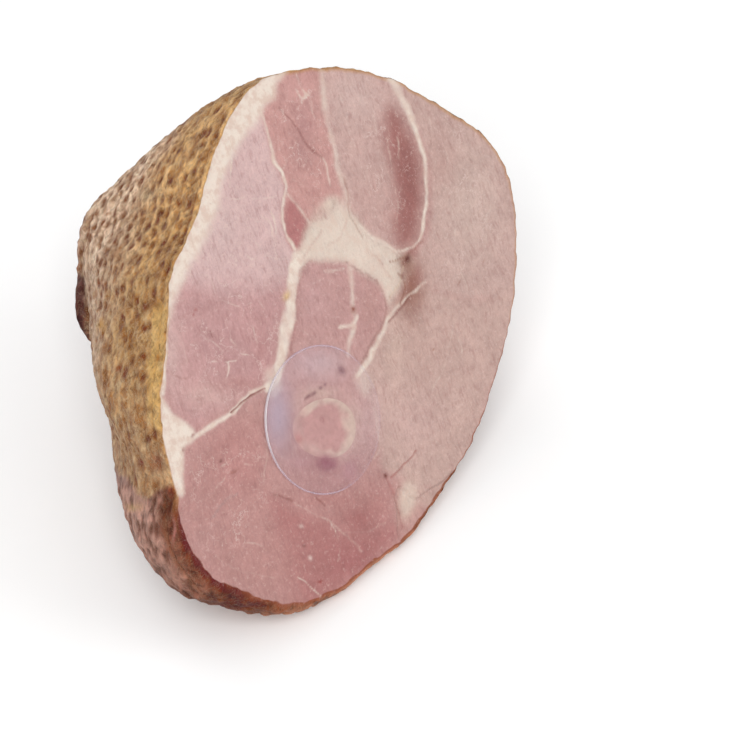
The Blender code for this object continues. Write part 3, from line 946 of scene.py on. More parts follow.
# the smooth golden band beside the cut, where the rind has split from the fat, in pixels
GOLDEN_BAND = (
    (150, 312), (160, 300), (168, 318), (163, 370), (162, 424), (150, 424), (146, 396), (149, 350),
)

# centre in pixels, half-widths in pixels, colour, strength, on the outside that the photograph shows
OUTSIDE_SPOTS = (
    ((146, 195), (6, 5), (222, 196, 160), 0.7), ((101, 325), (4, 7), (206, 150, 78), 0.9),
    ((109, 295), (4, 5), (202, 152, 88), 0.6), ((118, 369), (2.5, 2.5), (160, 66, 44), 0.8),
    # painted highlight: the pale pink spot at (173, 531) is a glossy lip where the slice's edge parts from
    # the meat behind
    ((134, 506), (7, 3), (190, 156, 104), 0.7), ((173, 531), (2, 12), (204, 138, 130), 0.6),
    ((158, 274), (4, 7), (138, 74, 22), 0.7), ((155, 303), (6, 7), (134, 72, 22), 0.75),
    ((146, 306), (4, 4), (136, 80, 30), 0.7), ((158, 357), (3.5, 3), (156, 92, 36), 0.8),
    ((148, 411), (5, 4), (120, 66, 26), 0.7), ((146, 390), (3, 6), (150, 96, 50), 0.6),
    ((156, 460), (7, 10), (158, 108, 92), 0.6), ((160, 440), (5, 6), (150, 96, 44), 0.6),
    ((190, 240), (4, 5), (128, 70, 26), 0.6), ((203, 208), (3, 4), (150, 92, 40), 0.5),
    # painted shade: the dark spot at (175, 490) starts the shaded line where the slice's edge parts
    ((175, 490), (7, 4), (120, 36, 16), 0.8), ((120, 478), (5, 7), (150, 122, 118), 0.5),
)


def paint_outside(angle, depth, places, pixels):
    """Paint of the ham's outside, with its height in mm and the cover of its rind."""
    rind = rind_cover(angle, depth, places, pixels)
    shown = seen(angle, depth)
    patchy = lumps(places, 17 * MM, 41)
    fine = lumps(places, 5 * MM, 42)
    tiny = lumps(places, 2.3 * MM, 45)
    flow = np.stack((places @ ALONG, (places - HOME) @ UP_FACE, depth * 2.5), -1)
    ridges = lumps(flow, 9 * MM, 43)
    dimples = dimple_cover(angle, depth, (fine, lumps(places, 6 * MM, 46)))
    dimples = dimples * rind * ease(depth, 1 * MM, 4 * MM)
    band = area(pixels, GOLDEN_BAND, 3.0) * shown
    dimples = dimples * (1 - 0.85 * band)

    paint = np.tile(screen(*GOLDEN), (len(places), 1))
    paint = lay(paint, ease(depth + 9 * MM * patchy, *FAR_DEPTHS), RIND_FAR)
    paint = lay(paint, 0.7 * turned(angle + 0.2 * patchy, *LOW_RIND_FROM), RIND_LOW)
    # painted light: the rind's top, where the camera sees it, is made brighter as if lit from above
    painted_top_light = TOP_PAINTED_LIGHT * (1 - turned(angle, *PAINTED_LIGHT_FADES)) * on_view(angle)
    paint = paint * (RIND_LIGHT + painted_top_light + 0.13 * patchy + 0.12 * fine + 0.14 * ridges)[:, None]
    paint = lay(paint, 0.66 * ease(0.6 * fine + 0.5 * tiny - 0.2 * patchy, 0.08, 0.46), BLOTCH_BROWN)
    # painted shade: the rind is darkened in its crevices, where its ridges are low
    paint = lay(paint, 0.38 * ease(-0.5 * ridges - 0.7 * tiny, 0.15, 0.5), CREVICE_SHADE_BROWN)
    # pale threads along the raised net: partly the rind's own threads, partly painted highlight
    net = 1 - np.abs(lumps(places, 4.2 * MM, 47) + 0.3 * tiny)
    paint = lay(paint, 0.5 * ease(net, 0.86, 0.99), RIND_THREAD_AND_HIGHLIGHT)
    paint = lay(paint, np.minimum(1.3 * dimples, 0.95), DIMPLE_BROWN)
    paint = lay(paint, 0.85 * band * (0.8 + 0.2 * fine), BAND_GOLD)

    scales = lumps(flow @ LEAN_TURN, 3.8 * MM, 44)
    lean = np.tile(screen(*LEAN), (len(places), 1))
    lower = turned(angle, *LOW_LEAN_FROM) * (1 - turned(angle, *LOW_LEAN_FADES))
    lean = lay(lean, np.maximum(lower, 0.85 * (1 - ease(depth + 4 * MM * fine, *LEAN_DEPTHS))), LEAN_LOW)
    lean = lay(lean, 1 - ease(places[:, 2], *FLOOR_HEIGHTS), UNDERSIDE)
    lean = lean * (1 + 0.22 * patchy + 0.2 * fine + 0.2 * tiny)[:, None]
    # painted shade: the lean is darkened in the hollows between its scales
    lean = lay(lean, 0.65 * ease(-scales - 0.4 * tiny, 0.0, 0.5), LEAN_CREVICE_SHADE)
    paint = paint + (1 - rind)[:, None] * (lean - paint)

    end = ease(depth, BODY_DEPTH - 1 * MM, BODY_DEPTH + 6 * MM)
    paint = lay(paint, end * (0.8 + 0.2 * fine), SHANK_MEAT)
    lobe = area(pixels, DARK_LOBE, 3.0) * ease(depth, *LOBE_DEPTHS)
    paint = lay(paint, np.clip(lobe * (0.85 + 0.3 * fine), 0, 1), MAROON)
    paint = lay_spots(paint, pixels, OUTSIDE_SPOTS, shown)
    rind_height = 0.3 * ridges + 0.35 * tiny + 0.3 * ease(net, 0.8, 1)
    height = DIMPLE_HEIGHT * dimples + rind_height * rind * (1 - band)
    height = height + (0.9 * scales + 0.35 * fine + 0.25 * tiny) * (1 - rind)
    return np.clip(paint, 0.004, 1), height, rind * (1 - 0.8 * band)


print("spots on the outside:", len(OUTSIDE_SPOTS))

# %% [markdown]
# The slice is painted now. Its rim takes the outside's paint, with the brown line where the
# crust was cut. At the lower left that line is darker, partly browned crust and partly painted shade
# where the slice's edge parts a little from the meat behind. That line could be a bevel with a finish of
# its own, but it is hardly a millimetre wide, so it is paint.

# %% Paint the first slice
WARP = 2.6
FINE_WARP = 1.0
BROWN_EDGE = (146, 80, 52)
DARK_EDGE_AND_SHADE = (102, 42, 18)
GOLDEN_EDGE = (188, 138, 82)

# directions round the ham, in degrees: where the brown edge starts, where it fades, and its darker part,
# which is partly painted shade
BROWN_FROM = (186, 192)
BROWN_FADES = (318, 345)
DARK_AND_SHADE_ENDS = (206, 226)

# widths of the edges' soft ends on the face, and on the outside just behind the cut
GOLDEN_WIDTH = (0.5 * MM, 1.3 * MM)
BEHIND_CUT = (0.3 * MM, 1.3 * MM)


def warp(places, pixels):
    """The pixels shifted a little by lumps, coarse and fine."""
    coarse = np.stack((lumps(places, 9 * MM, 51), lumps(places, 9 * MM, 52)), -1)
    fine = np.stack((lumps(places, 3.2 * MM, 53), lumps(places, 3.2 * MM, 54)), -1)
    return pixels + WARP * coarse + FINE_WARP * fine


slice_pixels = warp(slice_places, to_pixels(slice_places))
slice_paint = paint_muscles(slice_pixels)
uneven_light = 1 + 0.05 * lumps(slice_places, 11 * MM, 55) + 0.05 * lumps(slice_places, 4 * MM, 56)
slice_paint = slice_paint * uneven_light[:, None]
seam_lumps = lumps(slice_places, 4 * MM, 59)
slice_paint, slice_fat, seam_height = paint_seams(slice_paint, slice_pixels, seam_lumps)
slice_fat = slice_fat * on_face

direction = np.degrees(slice_angle)
lean_edge = ease(direction, *BROWN_FROM) * (1 - 0.6 * ease(direction, *BROWN_FADES))
brown_width = (0.25 + 0.15 * lean_edge + 0.35 * lumps(slice_places, 5 * MM, 57)) * MM
brown = 1 - ease(slice_edge, brown_width * 0.6, brown_width * 1.6)
dark_edge_and_shade = 1 - ease(direction + 6 * lumps(slice_places, 6 * MM, 65), *DARK_AND_SHADE_ENDS)
slice_paint = lay(slice_paint, np.where(on_face, 0.85 * brown * lean_edge, 0), BROWN_EDGE)
# painted shade: the brown line on the face's rim is darkened at the lower left, where the slice's edge
# parts
slice_paint = lay(slice_paint, np.where(on_face, 0.9 * brown * lean_edge * dark_edge_and_shade, 0), DARK_EDGE_AND_SHADE)
golden = 1 - ease(slice_edge, *GOLDEN_WIDTH)
slice_paint = lay(slice_paint, np.where(on_face, 0.8 * golden * (1 - lean_edge), 0), GOLDEN_EDGE)

outside_paint, outside_height, slice_rind = paint_outside(
    slice_angle, slice_depth, slice_places, slice_pixels)
near_cut = 1 - ease(slice_depth + 0.7 * MM * lumps(slice_places, 4 * MM, 64), *BEHIND_CUT)
cut_edge_tone = 0.85 + 0.3 * lumps(slice_places, 5 * MM, 58)
outside_paint = lay(outside_paint, np.clip(0.55 * lean_edge * near_cut * cut_edge_tone, 0, 1), BROWN_EDGE)
# painted shade: the same darker line on the outside just behind the cut, at the lower left
outside_paint = lay(outside_paint, np.clip(0.8 * dark_edge_and_shade * lean_edge * near_cut, 0, 1), DARK_EDGE_AND_SHADE)
golden_cut = np.clip(0.6 * (1 - lean_edge) * near_cut * cut_edge_tone, 0, 1)
outside_paint = lay(outside_paint, golden_cut, GOLDEN_EDGE)
slice_paint = np.where(on_face[:, None], slice_paint, outside_paint)
print("golden part of the cut edge:", round(float(np.mean(lean_edge[on_face] < 0.5)), 2))

# %% [markdown]
# A knife leaves soft meat wavy. Low on the right, where the first slice ends and the next one begins,
# there is a step. A bump in the finish could fake both, but a step has to show at its edge. So the
# vertices themselves are moved, and the face stays flat only under the guard that is stuck on it.

# %% Press the first slice
STEP_OUTLINE = (
    (398, 489), (416, 499), (426, 494), (449, 478), (467, 456), (486, 440), (480, 500), (430, 545),
    (408, 548), (399, 520),
)
STEP_HEIGHT = -1.5
CREST = 0.5
BULGE = 0.35
GRAIN = 0.10
FLAT_UNDER_GUARD = 0.12
GUARD_RADIUS = 34 * MM
FACE_SINK = 0.25
FACE_EDGE_EASE = 1.5 * MM

step = area(slice_pixels, STEP_OUTLINE, 2.0) * on_face
face_height = BULGE * lumps(slice_places, 15 * MM, 61) + GRAIN * lumps(slice_places, 3 * MM, 62)
face_height = face_height + seam_height
off_guard = ease(np.linalg.norm(slice_places - HOME, axis=1), GUARD_RADIUS, GUARD_RADIUS + 5 * MM)
face_height = face_height * (FLAT_UNDER_GUARD + (1 - FLAT_UNDER_GUARD) * off_guard) - FACE_SINK
face_height = (face_height * np.minimum(slice_edge / FACE_EDGE_EASE, 1) + STEP_HEIGHT * step) * on_face
rim_outward = from_middle(slice_places, slice_angle, slice_depth)
rim_fade = np.sin(math.pi * np.clip(slice_depth / SLICE_THICKNESS, 0, 1))
rim_height = np.minimum(outside_height, CREST) * rim_fade * on_rim
slice_places = slice_places - (face_height * MM)[:, None] * INWARD
slice_places = slice_places + (rim_height * MM)[:, None] * rim_outward
slice_places = rest_on_ground(slice_places)
print("face height (mm):", np.round(face_height.min(), 2), "to", np.round(face_height.max(), 2))

# %% [markdown]
# The rest of the ham goes on behind the first slice to the shank end. It could be a stack of slices, but
# they lie so tight that hardly a line of them shows. So it is one bored body: a hidden front, the
# outside, the rounded shank end and the tunnel that the bone lies in. The spiral cut is a faint groove on
# it that sinks one slice with each turn.

# %% The sliced body
BODY_START = SLICE_THICKNESS + SLICE_GAP
SIDE_ROWS = 104
CAP_ROWS = 14
END_ROWS = 8
TUNNEL_RINGS = 7
NOTCH = 0.2 * MM
NOTCH_WIDTH = 0.9 * MM
GROOVE = -0.22
GROOVE_HALF_WIDTH = 1.1 * MM

body_angle = full_turn(COLUMNS)
side_share = np.linspace(0, 1, SIDE_ROWS + 1)[:, None]
side_depth = BODY_START + (BODY_DEPTH - BODY_START) * side_share + 0 * body_angle
side_inset = NOTCH * np.exp(-((side_depth - BODY_START) / NOTCH_WIDTH) ** 2)
side_rings = outer_ring(body_angle + 0 * side_depth, side_depth, side_inset)

cap_turn = np.linspace(0, 1, CAP_ROWS + 1)[1:, None] * math.pi / 2
cap_middle_x, cap_middle_t, cap_radius = side(body_angle, BODY_DEPTH + 0 * body_angle)
cap_shrink = SHANK_SAWN_SHARE + (1 - SHANK_SAWN_SHARE) * np.cos(cap_turn) ** SHANK_CAP_ROUNDNESS
cap_radius = cap_radius * cap_shrink + np.sin(2 * cap_turn) * swelling(body_angle, SHANK_LOBE)
cap_radius = cap_radius - crags(body_angle, BODY_DEPTH + 0 * body_angle)
cap_rings = ring_at(body_angle, cap_middle_x, cap_middle_t, cap_radius)
cap_depth = BODY_DEPTH + SHANK_CAP_DEPTH * np.sin(cap_turn) + 0 * body_angle

end_depth = BODY_DEPTH + SHANK_CAP_DEPTH
hole = bone_ring(body_angle, end_depth, FIT_GAP)
end_share = np.linspace(0, 1, END_ROWS + 1)[1:, None]
end_rings = between([rings[-1:] for rings in cap_rings], hole, end_share)
tunnel_depth = np.linspace(end_depth, BODY_START, TUNNEL_RINGS)[1:, None] + 0 * body_angle
tunnel_rings = bone_ring(body_angle, tunnel_depth, FIT_GAP)

body_places, body_depth, body_rings = join_rings(
    (*side_rings, side_depth), (*cap_rings, cap_depth), (*end_rings, end_depth),
    (*tunnel_rings, tunnel_depth))
body_direction = np.tile(body_angle.ravel(), body_rings)
body_quads = close_rings(body_rings, COLUMNS)
on_outside = np.arange(len(body_places)) < side_depth.size + cap_depth.size
print("body vertices:", len(body_places))

# %% [markdown]
# The body wears the same two skins as the slice's rim, so the same function paints it. Its spiral cut
# could be cut open, but on the real ham the slices lie shut, so it is only pressed in as a faint line.

# %% Press and paint the body
body_pixels = warp(body_places, to_pixels(body_places))
body_paint, body_height, body_rind = paint_outside(body_direction, body_depth, body_places, body_pixels)
turns = body_depth / SLICE - body_direction / (2 * math.pi)
to_groove = (turns - np.round(turns)) * SLICE
groove = np.exp(-((to_groove / GROOVE_HALF_WIDTH) ** 2)) * ease(body_depth, SLICE, 2 * SLICE)
body_height = body_height + GROOVE * groove
# painted shade: the body just behind the first slice is darkened, where the slice shades it
shade_behind_slice = 1 - ease(body_depth, BODY_START + 0.6 * MM, BODY_START + 2.2 * MM)
body_paint = lay(body_paint, 0.2 * shade_behind_slice, CREVICE_SHADE_BROWN)

body_height = np.minimum(body_height, CREST) * on_outside
body_outward = from_middle(body_places, body_direction, body_depth)
body_places = body_places + (body_height * MM)[:, None] * body_outward
body_places = rest_on_ground(body_places)
print("outside height (mm):", np.round(body_height.min(), 2), "to", np.round(body_height.max(), 2))

# %% [markdown]
# The leg bone runs right through. It could be a plain rod, but its sawn end is in full view: a pale hard
# ring round soft pink marrow that shrinks back a little. So the end is a fine grid of rings that is
# painted like the meat.

# %% The leg bone
BONE_COLUMNS = 220
BONE_FACE_ROWS = 60
BONE_SIDE_ROWS = 24
BONE_END_ROWS = 16
BONE_EDGE = 0.996
BONE_INNERMOST = 0.02


def bone_rows(shares, depth):
    """Rings of the bone at one depth, shrunk to shares of its outline about its middle there."""
    outline = bone_ring(full_turn(BONE_COLUMNS), depth, 0)
    return (*between(bone_middle(depth), outline, shares[:, None]), depth)


along_bone = np.linspace(0, end_depth, BONE_SIDE_ROWS + 1)[1:-1, None]
tube = bone_ring(full_turn(BONE_COLUMNS), along_bone, 0)
near_shares = np.append(np.linspace(BONE_INNERMOST, BONE_EDGE, BONE_FACE_ROWS - 1), 1)
near_rows = bone_rows(near_shares, 0.0)
far_shares = np.linspace(1, BONE_INNERMOST, BONE_END_ROWS)
far_rows = bone_rows(far_shares, end_depth)
bone_places, bone_depth, rows = join_rings(near_rows, (*tube, along_bone), far_rows)
bone_share = np.concatenate((near_shares, np.ones(BONE_SIDE_ROWS - 1), far_shares))
bone_share = np.repeat(bone_share, BONE_COLUMNS)
bone_quads = close_rings(rows, BONE_COLUMNS)[:(rows - 1) * BONE_COLUMNS]
end_depths = np.array((0.0, end_depth))
bone_centres = point(*bone_middle(end_depths), end_depths)
k = np.arange(BONE_COLUMNS)
after = (k + 1) % BONE_COLUMNS
first = np.stack((np.full(BONE_COLUMNS, len(bone_places)), k, after), -1)
last_ring = (rows - 1) * BONE_COLUMNS
last = np.stack((np.full(BONE_COLUMNS, len(bone_places) + 1), last_ring + after, last_ring + k), -1)

bone_all = np.vstack((bone_places, bone_centres))
bone_triangles = np.concatenate((split(bone_quads), first, last))
print("bone vertices:", len(bone_all))

# %% [markdown]
# The sawn end is not one colour. The ring is pale only where it faces right, and the marrow is spotted.
# A finish could do it with noise, but the marks have places, so they are laid on the vertices as before.

# %% Paint the bone
BONE_PALE = (212, 184, 170)
MARROW = (199, 152, 146)
RING_IN = 0.76
MARROW_SINK = 0.3
BONE_DIP = 0.22

# centre in pixels, half-widths in pixels, colour, strength
BONE_SPOTS = (
    ((325, 419), (2.4, 2.4), (158, 104, 104), 0.7), ((325, 419), (1.0, 1.0), (206, 160, 154), 0.8),
    ((298, 438), (4, 6), (182, 116, 112), 0.7), ((301, 424), (6, 12), (192, 148, 142), 0.7),
    ((312, 446), (9, 5), (210, 172, 162), 0.6), ((326, 460), (11, 6), (156, 98, 110), 0.85),
)

bone_share = np.append(bone_share, (0, 0))
bone_depth = np.append(bone_depth, (0, end_depth))
uneven = lumps(bone_all, 5 * MM, 81)
fine = lumps(bone_all, 1.6 * MM, 82)
bone_pixels = warp(bone_all, to_pixels(bone_all))
pale_side = 0.3 + 0.7 * ease(bone_pixels[:, 0] - 305 + 0.7 * (430 - bone_pixels[:, 1]), -12, 22)
pale_side = np.where(bone_depth < end_depth / 2, pale_side, 1.0)
ring = ease(bone_share + 0.22 * uneven, RING_IN - 0.12, RING_IN + 0.12)
bone_paint = np.tile(screen(*MARROW), (len(bone_all), 1))
bone_paint = lay(bone_paint, ring * pale_side, BONE_PALE)
near_end = 1 - ease(bone_depth, 0, 2 * MM)
bone_paint = lay_spots(bone_paint, bone_pixels, BONE_SPOTS, near_end)
bone_paint = np.clip(bone_paint * (1 + 0.08 * uneven + 0.08 * fine)[:, None], 0, 1)
at_ends = near_end + ease(bone_depth, end_depth - 2 * MM, end_depth)
bone_height = (-MARROW_SINK * (1 - ring) + 0.08 * uneven * ring + 0.12 * fine * (1 - ring)) * at_ends
bone_height = bone_height * (1 - ease(bone_share, 0.93, 1.0)) - BONE_DIP * near_end
outward_end = np.where(bone_depth < end_depth / 2, -1.0, 1.0)
bone_all = bone_all + (bone_height * outward_end * MM)[:, None] * INWARD
print("bone height (mm):", np.round(bone_height.min(), 2), "to", np.round(bone_height.max(), 2))

# %% [markdown]
# A clear plastic disc keeps the sharp bone from the bag. It could be glass, but the film is so thin that
# it bends no light. It is one thin turned sheet with a raised bead at its rim: all that shows of it is
# the bead's bright line, a painted glint that is brightest on the left, and a faint lavender haze where it
# lies off the meat.

# %% The bone guard
GUARD_SIDES = 256
GUARD_LOW = 0.3 * MM
GUARD_THICKNESS = 0.5 * MM
GUARD_BEAD = 1.0 * MM
GUARD_RINGS = 46
RING_CROWDING = 2.4
GUARD_WAVE = 0.06 * MM
BEAD_HALF_WIDTH = 0.5 * MM
HAZE_MIDDLE = 0.02
HAZE_SIDE = 0.25
PAINTED_BEAD_GLINT = 0.8

guard_share = 1 - 0.99 * (1 - np.linspace(0, 1, GUARD_RINGS)) ** RING_CROWDING
ring_radius = GUARD_RADIUS * guard_share
bead = np.exp(-((ring_radius - GUARD_RADIUS + BEAD_HALF_WIDTH) / (0.55 * BEAD_HALF_WIDTH)) ** 2)
top = GUARD_LOW + GUARD_THICKNESS * (1 - 0.999 * ease(ring_radius, GUARD_RADIUS - 0.3 * MM, GUARD_RADIUS))
top = top + (GUARD_BEAD - GUARD_THICKNESS) * bead
profile_radius = np.concatenate((ring_radius, ring_radius[::-1]))
profile_rise = np.concatenate((top, np.full(GUARD_RINGS, GUARD_LOW)))
spin = full_turn(GUARD_SIDES)
guard = ring_at(spin, 0, 0, profile_radius[:, None])
guard_places, _, _ = join_rings((*guard, -profile_rise[:, None]))
wave = GUARD_WAVE * (1 + lumps(guard_places, 16 * MM, 91))
guard_places = guard_places - wave[:, None] * INWARD
guard_quads = close_rings(2 * GUARD_RINGS, GUARD_SIDES)
guard_bead = np.tile(np.concatenate((bead, bead[::-1]))[:, None], (1, GUARD_SIDES)).ravel()
guard_pixels = to_pixels(guard_places)
patch = 0.5 + 0.5 * lumps(guard_places, 13 * MM, 92)
left_side = spot(guard_pixels, (277, 414), (13, 32))
upper_side = spot(guard_pixels, (314, 362), (24, 14))
haze = HAZE_MIDDLE + (HAZE_SIDE - HAZE_MIDDLE) * (left_side + 0.3 * upper_side + 0.08 * patch)
# painted highlight: a glint along the bead, strongest on the left, laid into the haze mark
bead_glint = 0.12 + 0.70 * spot(guard_pixels, (266, 418), (22, 44))
bead_glint = bead_glint + 0.30 * ease(362 - guard_pixels[:, 0], 0, 30)
haze = np.clip(haze + (PAINTED_BEAD_GLINT * bead_glint - haze) * guard_bead, 0, 1)
print("guard vertices:", len(guard_places))

# %% [markdown]
# Finishes are written as sums and products of sockets. Each maths node could be made by hand, but that
# hides the formula. So a small class wraps a socket, and ordinary expressions make the maths nodes.

# %% Wires
class Wire:
    """A socket of a finish that ordinary expressions can add, take away and multiply."""

    def __init__(self, finish, socket):
        self.finish = finish
        self.socket = socket

    def combine(self, operation, first, second):
        """A maths node on two wires or numbers."""
        return self.finish.node("ShaderNodeMath", {"operation": operation}, {0: first, 1: second})

    def __add__(self, other):
        return self.combine("ADD", self, other)

    def __radd__(self, other):
        return self.combine("ADD", other, self)

    def __sub__(self, other):
        return self.combine("SUBTRACT", self, other)

    def __rsub__(self, other):
        return self.combine("SUBTRACT", other, self)

    def __mul__(self, other):
        return self.combine("MULTIPLY", self, other)

    def __rmul__(self, other):
        return self.combine("MULTIPLY", other, self)

    def __abs__(self):
        return self.finish.node("ShaderNodeMath", {"operation": "ABSOLUTE"}, {0: self})


print("a wire can:", sorted(name.strip("_") for name in vars(Wire) if name.startswith("__r")))

# %% [markdown]
# A finish is a material with its nodes. They could be set up by hand in the shader editor, but here each
# kind of node is one short method, and the finishes below read as a list of what the surface has.

# %% Finish tools
class Finish:
    """A material being made: its shader, and methods that add nodes and hand back their wires."""

    def __init__(self, name):
        self.made = bpy.data.materials.new(name)
        self.made.use_nodes = True
        self.tree = self.made.node_tree
        self.shader = self.tree.nodes["Principled BSDF"]

    def feed(self, socket, value):
        """Links a wire to a socket, or sets the socket to a plain value."""
        if isinstance(value, Wire):
            self.tree.links.new(value.socket, socket)
        else:
            socket.default_value = value

    def node(self, kind, settings=None, inputs=None, output=0):
        """Any node: its settings, what feeds its sockets, and the wire of one output."""
        made = self.tree.nodes.new(kind)
        for key, value in (settings or {}).items():
            setattr(made, key, value)
        for key, value in (inputs or {}).items():
            self.feed(made.inputs[key], value)
        return Wire(self, made.outputs[output])

    def set(self, **inputs):
        """Feeds the shader, with an underscore for each space in the name of a socket."""
        for key, value in inputs.items():
            self.feed(self.shader.inputs[key.replace("_", " ")], value)

    def mark(self, name, output="Color"):
        """What a mark of the mesh says here."""
        return self.node("ShaderNodeAttribute", {"attribute_name": name}, output=output)

    def places(self):
        """The place on the object, in metres."""
        return self.node("ShaderNodeTexCoord", output="Object")

    def noise(self, where, scale, detail=2.0, roughness=0.5):
        """Soft random values from 0 to 1, about so many changes a metre as the scale says."""
        return self.node("ShaderNodeTexNoise", {}, {
            "Vector": where, "Scale": scale, "Detail": detail, "Roughness": roughness}, "Fac")

    def lines(self, noise, width):
        """Thin wandering lines: 1 where the noise passes its middle value, 0 a width away from it."""
        return 1 - self.ramp(abs(noise - 0.5), 0.0, width)

    def ramp(self, value, low, high):
        """0 below low, 1 above high, and a smooth step between."""
        return self.node("ShaderNodeMapRange", {"interpolation_type": "SMOOTHSTEP"},
                         {"Value": value, "From Min": low, "From Max": high})

    def mix(self, share, first, second, blend="MIX"):
        """The first colour with a share of the second blended in."""
        made = self.tree.nodes.new("ShaderNodeMix")
        made.data_type = "RGBA"
        made.blend_type = blend
        self.feed(made.inputs["Factor"], share)
        self.feed(made.inputs[6], first)
        self.feed(made.inputs[7], second)
        return Wire(self, made.outputs[2])

    def bump(self, height, strength, distance):
        """The direction that the surface seems to face when the height is on it."""
        return self.node("ShaderNodeBump", {}, {
            "Strength": strength, "Distance": distance, "Height": height}, "Normal")

    def shade(self, colour, tone):
        """A colour made darker or lighter by one tone."""
        grey = self.node("ShaderNodeCombineColor", {}, {0: tone, 1: tone, 2: tone})
        return self.mix(1.0, colour, grey, "MULTIPLY")


print("finish tools:", sorted(name for name in vars(Finish) if not name.startswith("_")))

# %% [markdown]
# Colours were sampled as they look in the photograph, which is the finish under a light. The light here
# is a little brighter than plain white, and the sheen adds some. Both could be guessed again for each
# colour, but they are the same all over, so they are taken off once.

# %% Colours under this light
STUDIO_GAIN = 1.22
STUDIO_SHEEN = 0.030


def own_colour(values):
    """A finish's own colour that looks like these light values here: sheen off, then the light's gain."""
    return np.clip((values - STUDIO_SHEEN) / STUDIO_GAIN, 0.003, 1)


def light(*colour):
    """A screen colour as the four values of a finish's own colour."""
    return (*own_colour(screen(*colour)), 1.0)


print("middle grey as a finish's own colour:", np.round(light(128, 128, 128), 3))

# %% [markdown]
# Cured meat is damp and fibrous. All of that could be painted too, but only with millions of vertices. So
# the finish adds what is finer than the mesh: short fibres, the small pale cells of marbled fat, the
# threads of the rind, which are partly painted highlight with painted shade in the hollows between them,
# and a damp sheen that is smoother on the fat than on the lean.

# %% The meat's finish
GRAIN_SCALE = 1000.0
FLECK_SCALE = 620.0
MOTTLE_SCALE = 240.0
BROAD_SCALE = 90.0
VEIN_SCALE = 120.0
CURL_SCALE = 400.0
FIBRE_SCALE = 300.0
FAT_CREAM = (234, 219, 206)
FAT_WARM = (222, 199, 185)
VEIN_PALE = (222, 196, 188)
PORE_RED = (150, 96, 90)
THREAD_GOLD_AND_HIGHLIGHT = (232, 206, 170)
WRINKLE_BROWN = (148, 92, 46)
MOTTLE_DARK = (170, 114, 112)
DAMP_SHEEN = 0.22
CURL_WIDTH = 0.030
FIBRE_WIDTH = 0.016
VEIN_WIDTH = 0.015

meat = Finish("cured_meat_finish")
where = meat.places()
paint = meat.mark("paint")
rind = meat.mark("rind", "Fac")
cells = meat.mark("cells", "Fac")
fat_field = meat.mark("fat", "Fac")
bare = meat.mark("bare", "Fac")
outside = rind + bare
grain = meat.noise(where, GRAIN_SCALE, 3.0, 0.6)
fleck = meat.noise(where, FLECK_SCALE, 4.0, 0.65)
mottle = meat.noise(where, MOTTLE_SCALE, 4.0, 0.6)
broad = meat.noise(where, BROAD_SCALE, 2.0, 0.5)

# threads: on the face they are fibres along the muscle, on the outside a curly net
thread_a = meat.noise(meat.mark("thread_a", "Vector"), CURL_SCALE, 3.0, 0.6)
thread_b = meat.noise(meat.mark("thread_b", "Vector"), CURL_SCALE, 3.0, 0.6)
curls = 0.6 * meat.lines(thread_a, CURL_WIDTH) + 0.6 * meat.lines(thread_b, CURL_WIDTH)
shaded_hollows = meat.ramp(0.5 * thread_a + 0.5 * thread_b, 0.50, 0.38)
fibre = meat.noise(meat.mark("fibre", "Vector"), FIBRE_SCALE, 3.0, 0.6)
fibre_lines = meat.lines(fibre, FIBRE_WIDTH) * meat.ramp(mottle, 0.46, 0.60)

# fat with a feathered edge, streaked along the fibres
fat = meat.ramp(fat_field + 0.18 * (fleck - 0.5) + 0.24 * (mottle - 0.5), 0.05, 0.88)
fat_warmth = meat.ramp(0.8 * mottle + 0.2 * fibre, 0.42, 0.62)
fat_colour = meat.mix(fat_warmth, light(*FAT_CREAM), light(*FAT_WARM))

# marbling in broken, wandering lines
vein = meat.lines(meat.noise(where, VEIN_SCALE, 4.0, 0.55), VEIN_WIDTH)
vein = vein * meat.ramp(broad + 0.4 * fleck, 0.58, 0.82) * cells

face_tone = 0.48 + 0.30 * grain + 0.24 * mottle + 0.22 * fleck + 0.26 * fibre
# painted shade: the rind's tone is darker in the hollows of its curly net
rind_tone = 0.56 + 0.55 * mottle + 0.55 * fleck - 0.34 * shaded_hollows
tone = face_tone + outside * (rind_tone - face_tone)
on_cut = 1 - outside
wrinkles = 0.4 * rind * meat.ramp(0.6 * mottle + 0.4 * fleck, 0.50, 0.42)
dark_fibres = 0.22 * meat.ramp(0.6 * fibre + 0.4 * mottle, 0.50, 0.36) * on_cut
pale_fibres = (0.28 * meat.ramp(fleck, 0.56, 0.70) + 0.22 * fibre_lines) * on_cut
wrinkled = meat.mix(wrinkles, paint, light(*WRINKLE_BROWN))
mottled = meat.mix(dark_fibres, wrinkled, light(*MOTTLE_DARK))
toned = meat.shade(mottled, tone)
flecked = meat.mix(pale_fibres, toned, light(*VEIN_PALE))
pored = meat.mix(0.40 * meat.ramp(grain, 0.30, 0.24) * on_cut, flecked, light(*PORE_RED))
marbled = meat.mix(0.65 * vein, pored, light(*VEIN_PALE))
# pale gold on the rind's raised threads: partly their own colour, partly painted highlight
threaded = meat.mix((0.50 * rind + 0.16 * bare) * meat.ramp(curls, 0.0, 1.0), marbled, light(*THREAD_GOLD_AND_HIGHLIGHT))
colour = meat.mix(fat * on_cut, threaded, fat_colour)
face_bump = 0.5 * grain + 0.5 * mottle + 0.4 * fibre
rind_bump = 1.4 * curls + 1.4 * mottle - 1.6 * shaded_hollows
bump = face_bump + outside * (rind_bump - face_bump)
meat.set(Base_Color=colour, Roughness=0.36 + 0.24 * mottle + 0.06 * outside - 0.05 * fat,
         Normal=meat.bump(bump, 0.6, 0.6 * MM), Specular_IOR_Level=DAMP_SHEEN,
         Subsurface_Weight=0.06, Subsurface_Radius=(1.0, 0.45, 0.3), Subsurface_Scale=1.5 * MM)
print(meat.made.name, "has", len(meat.tree.nodes), "nodes")

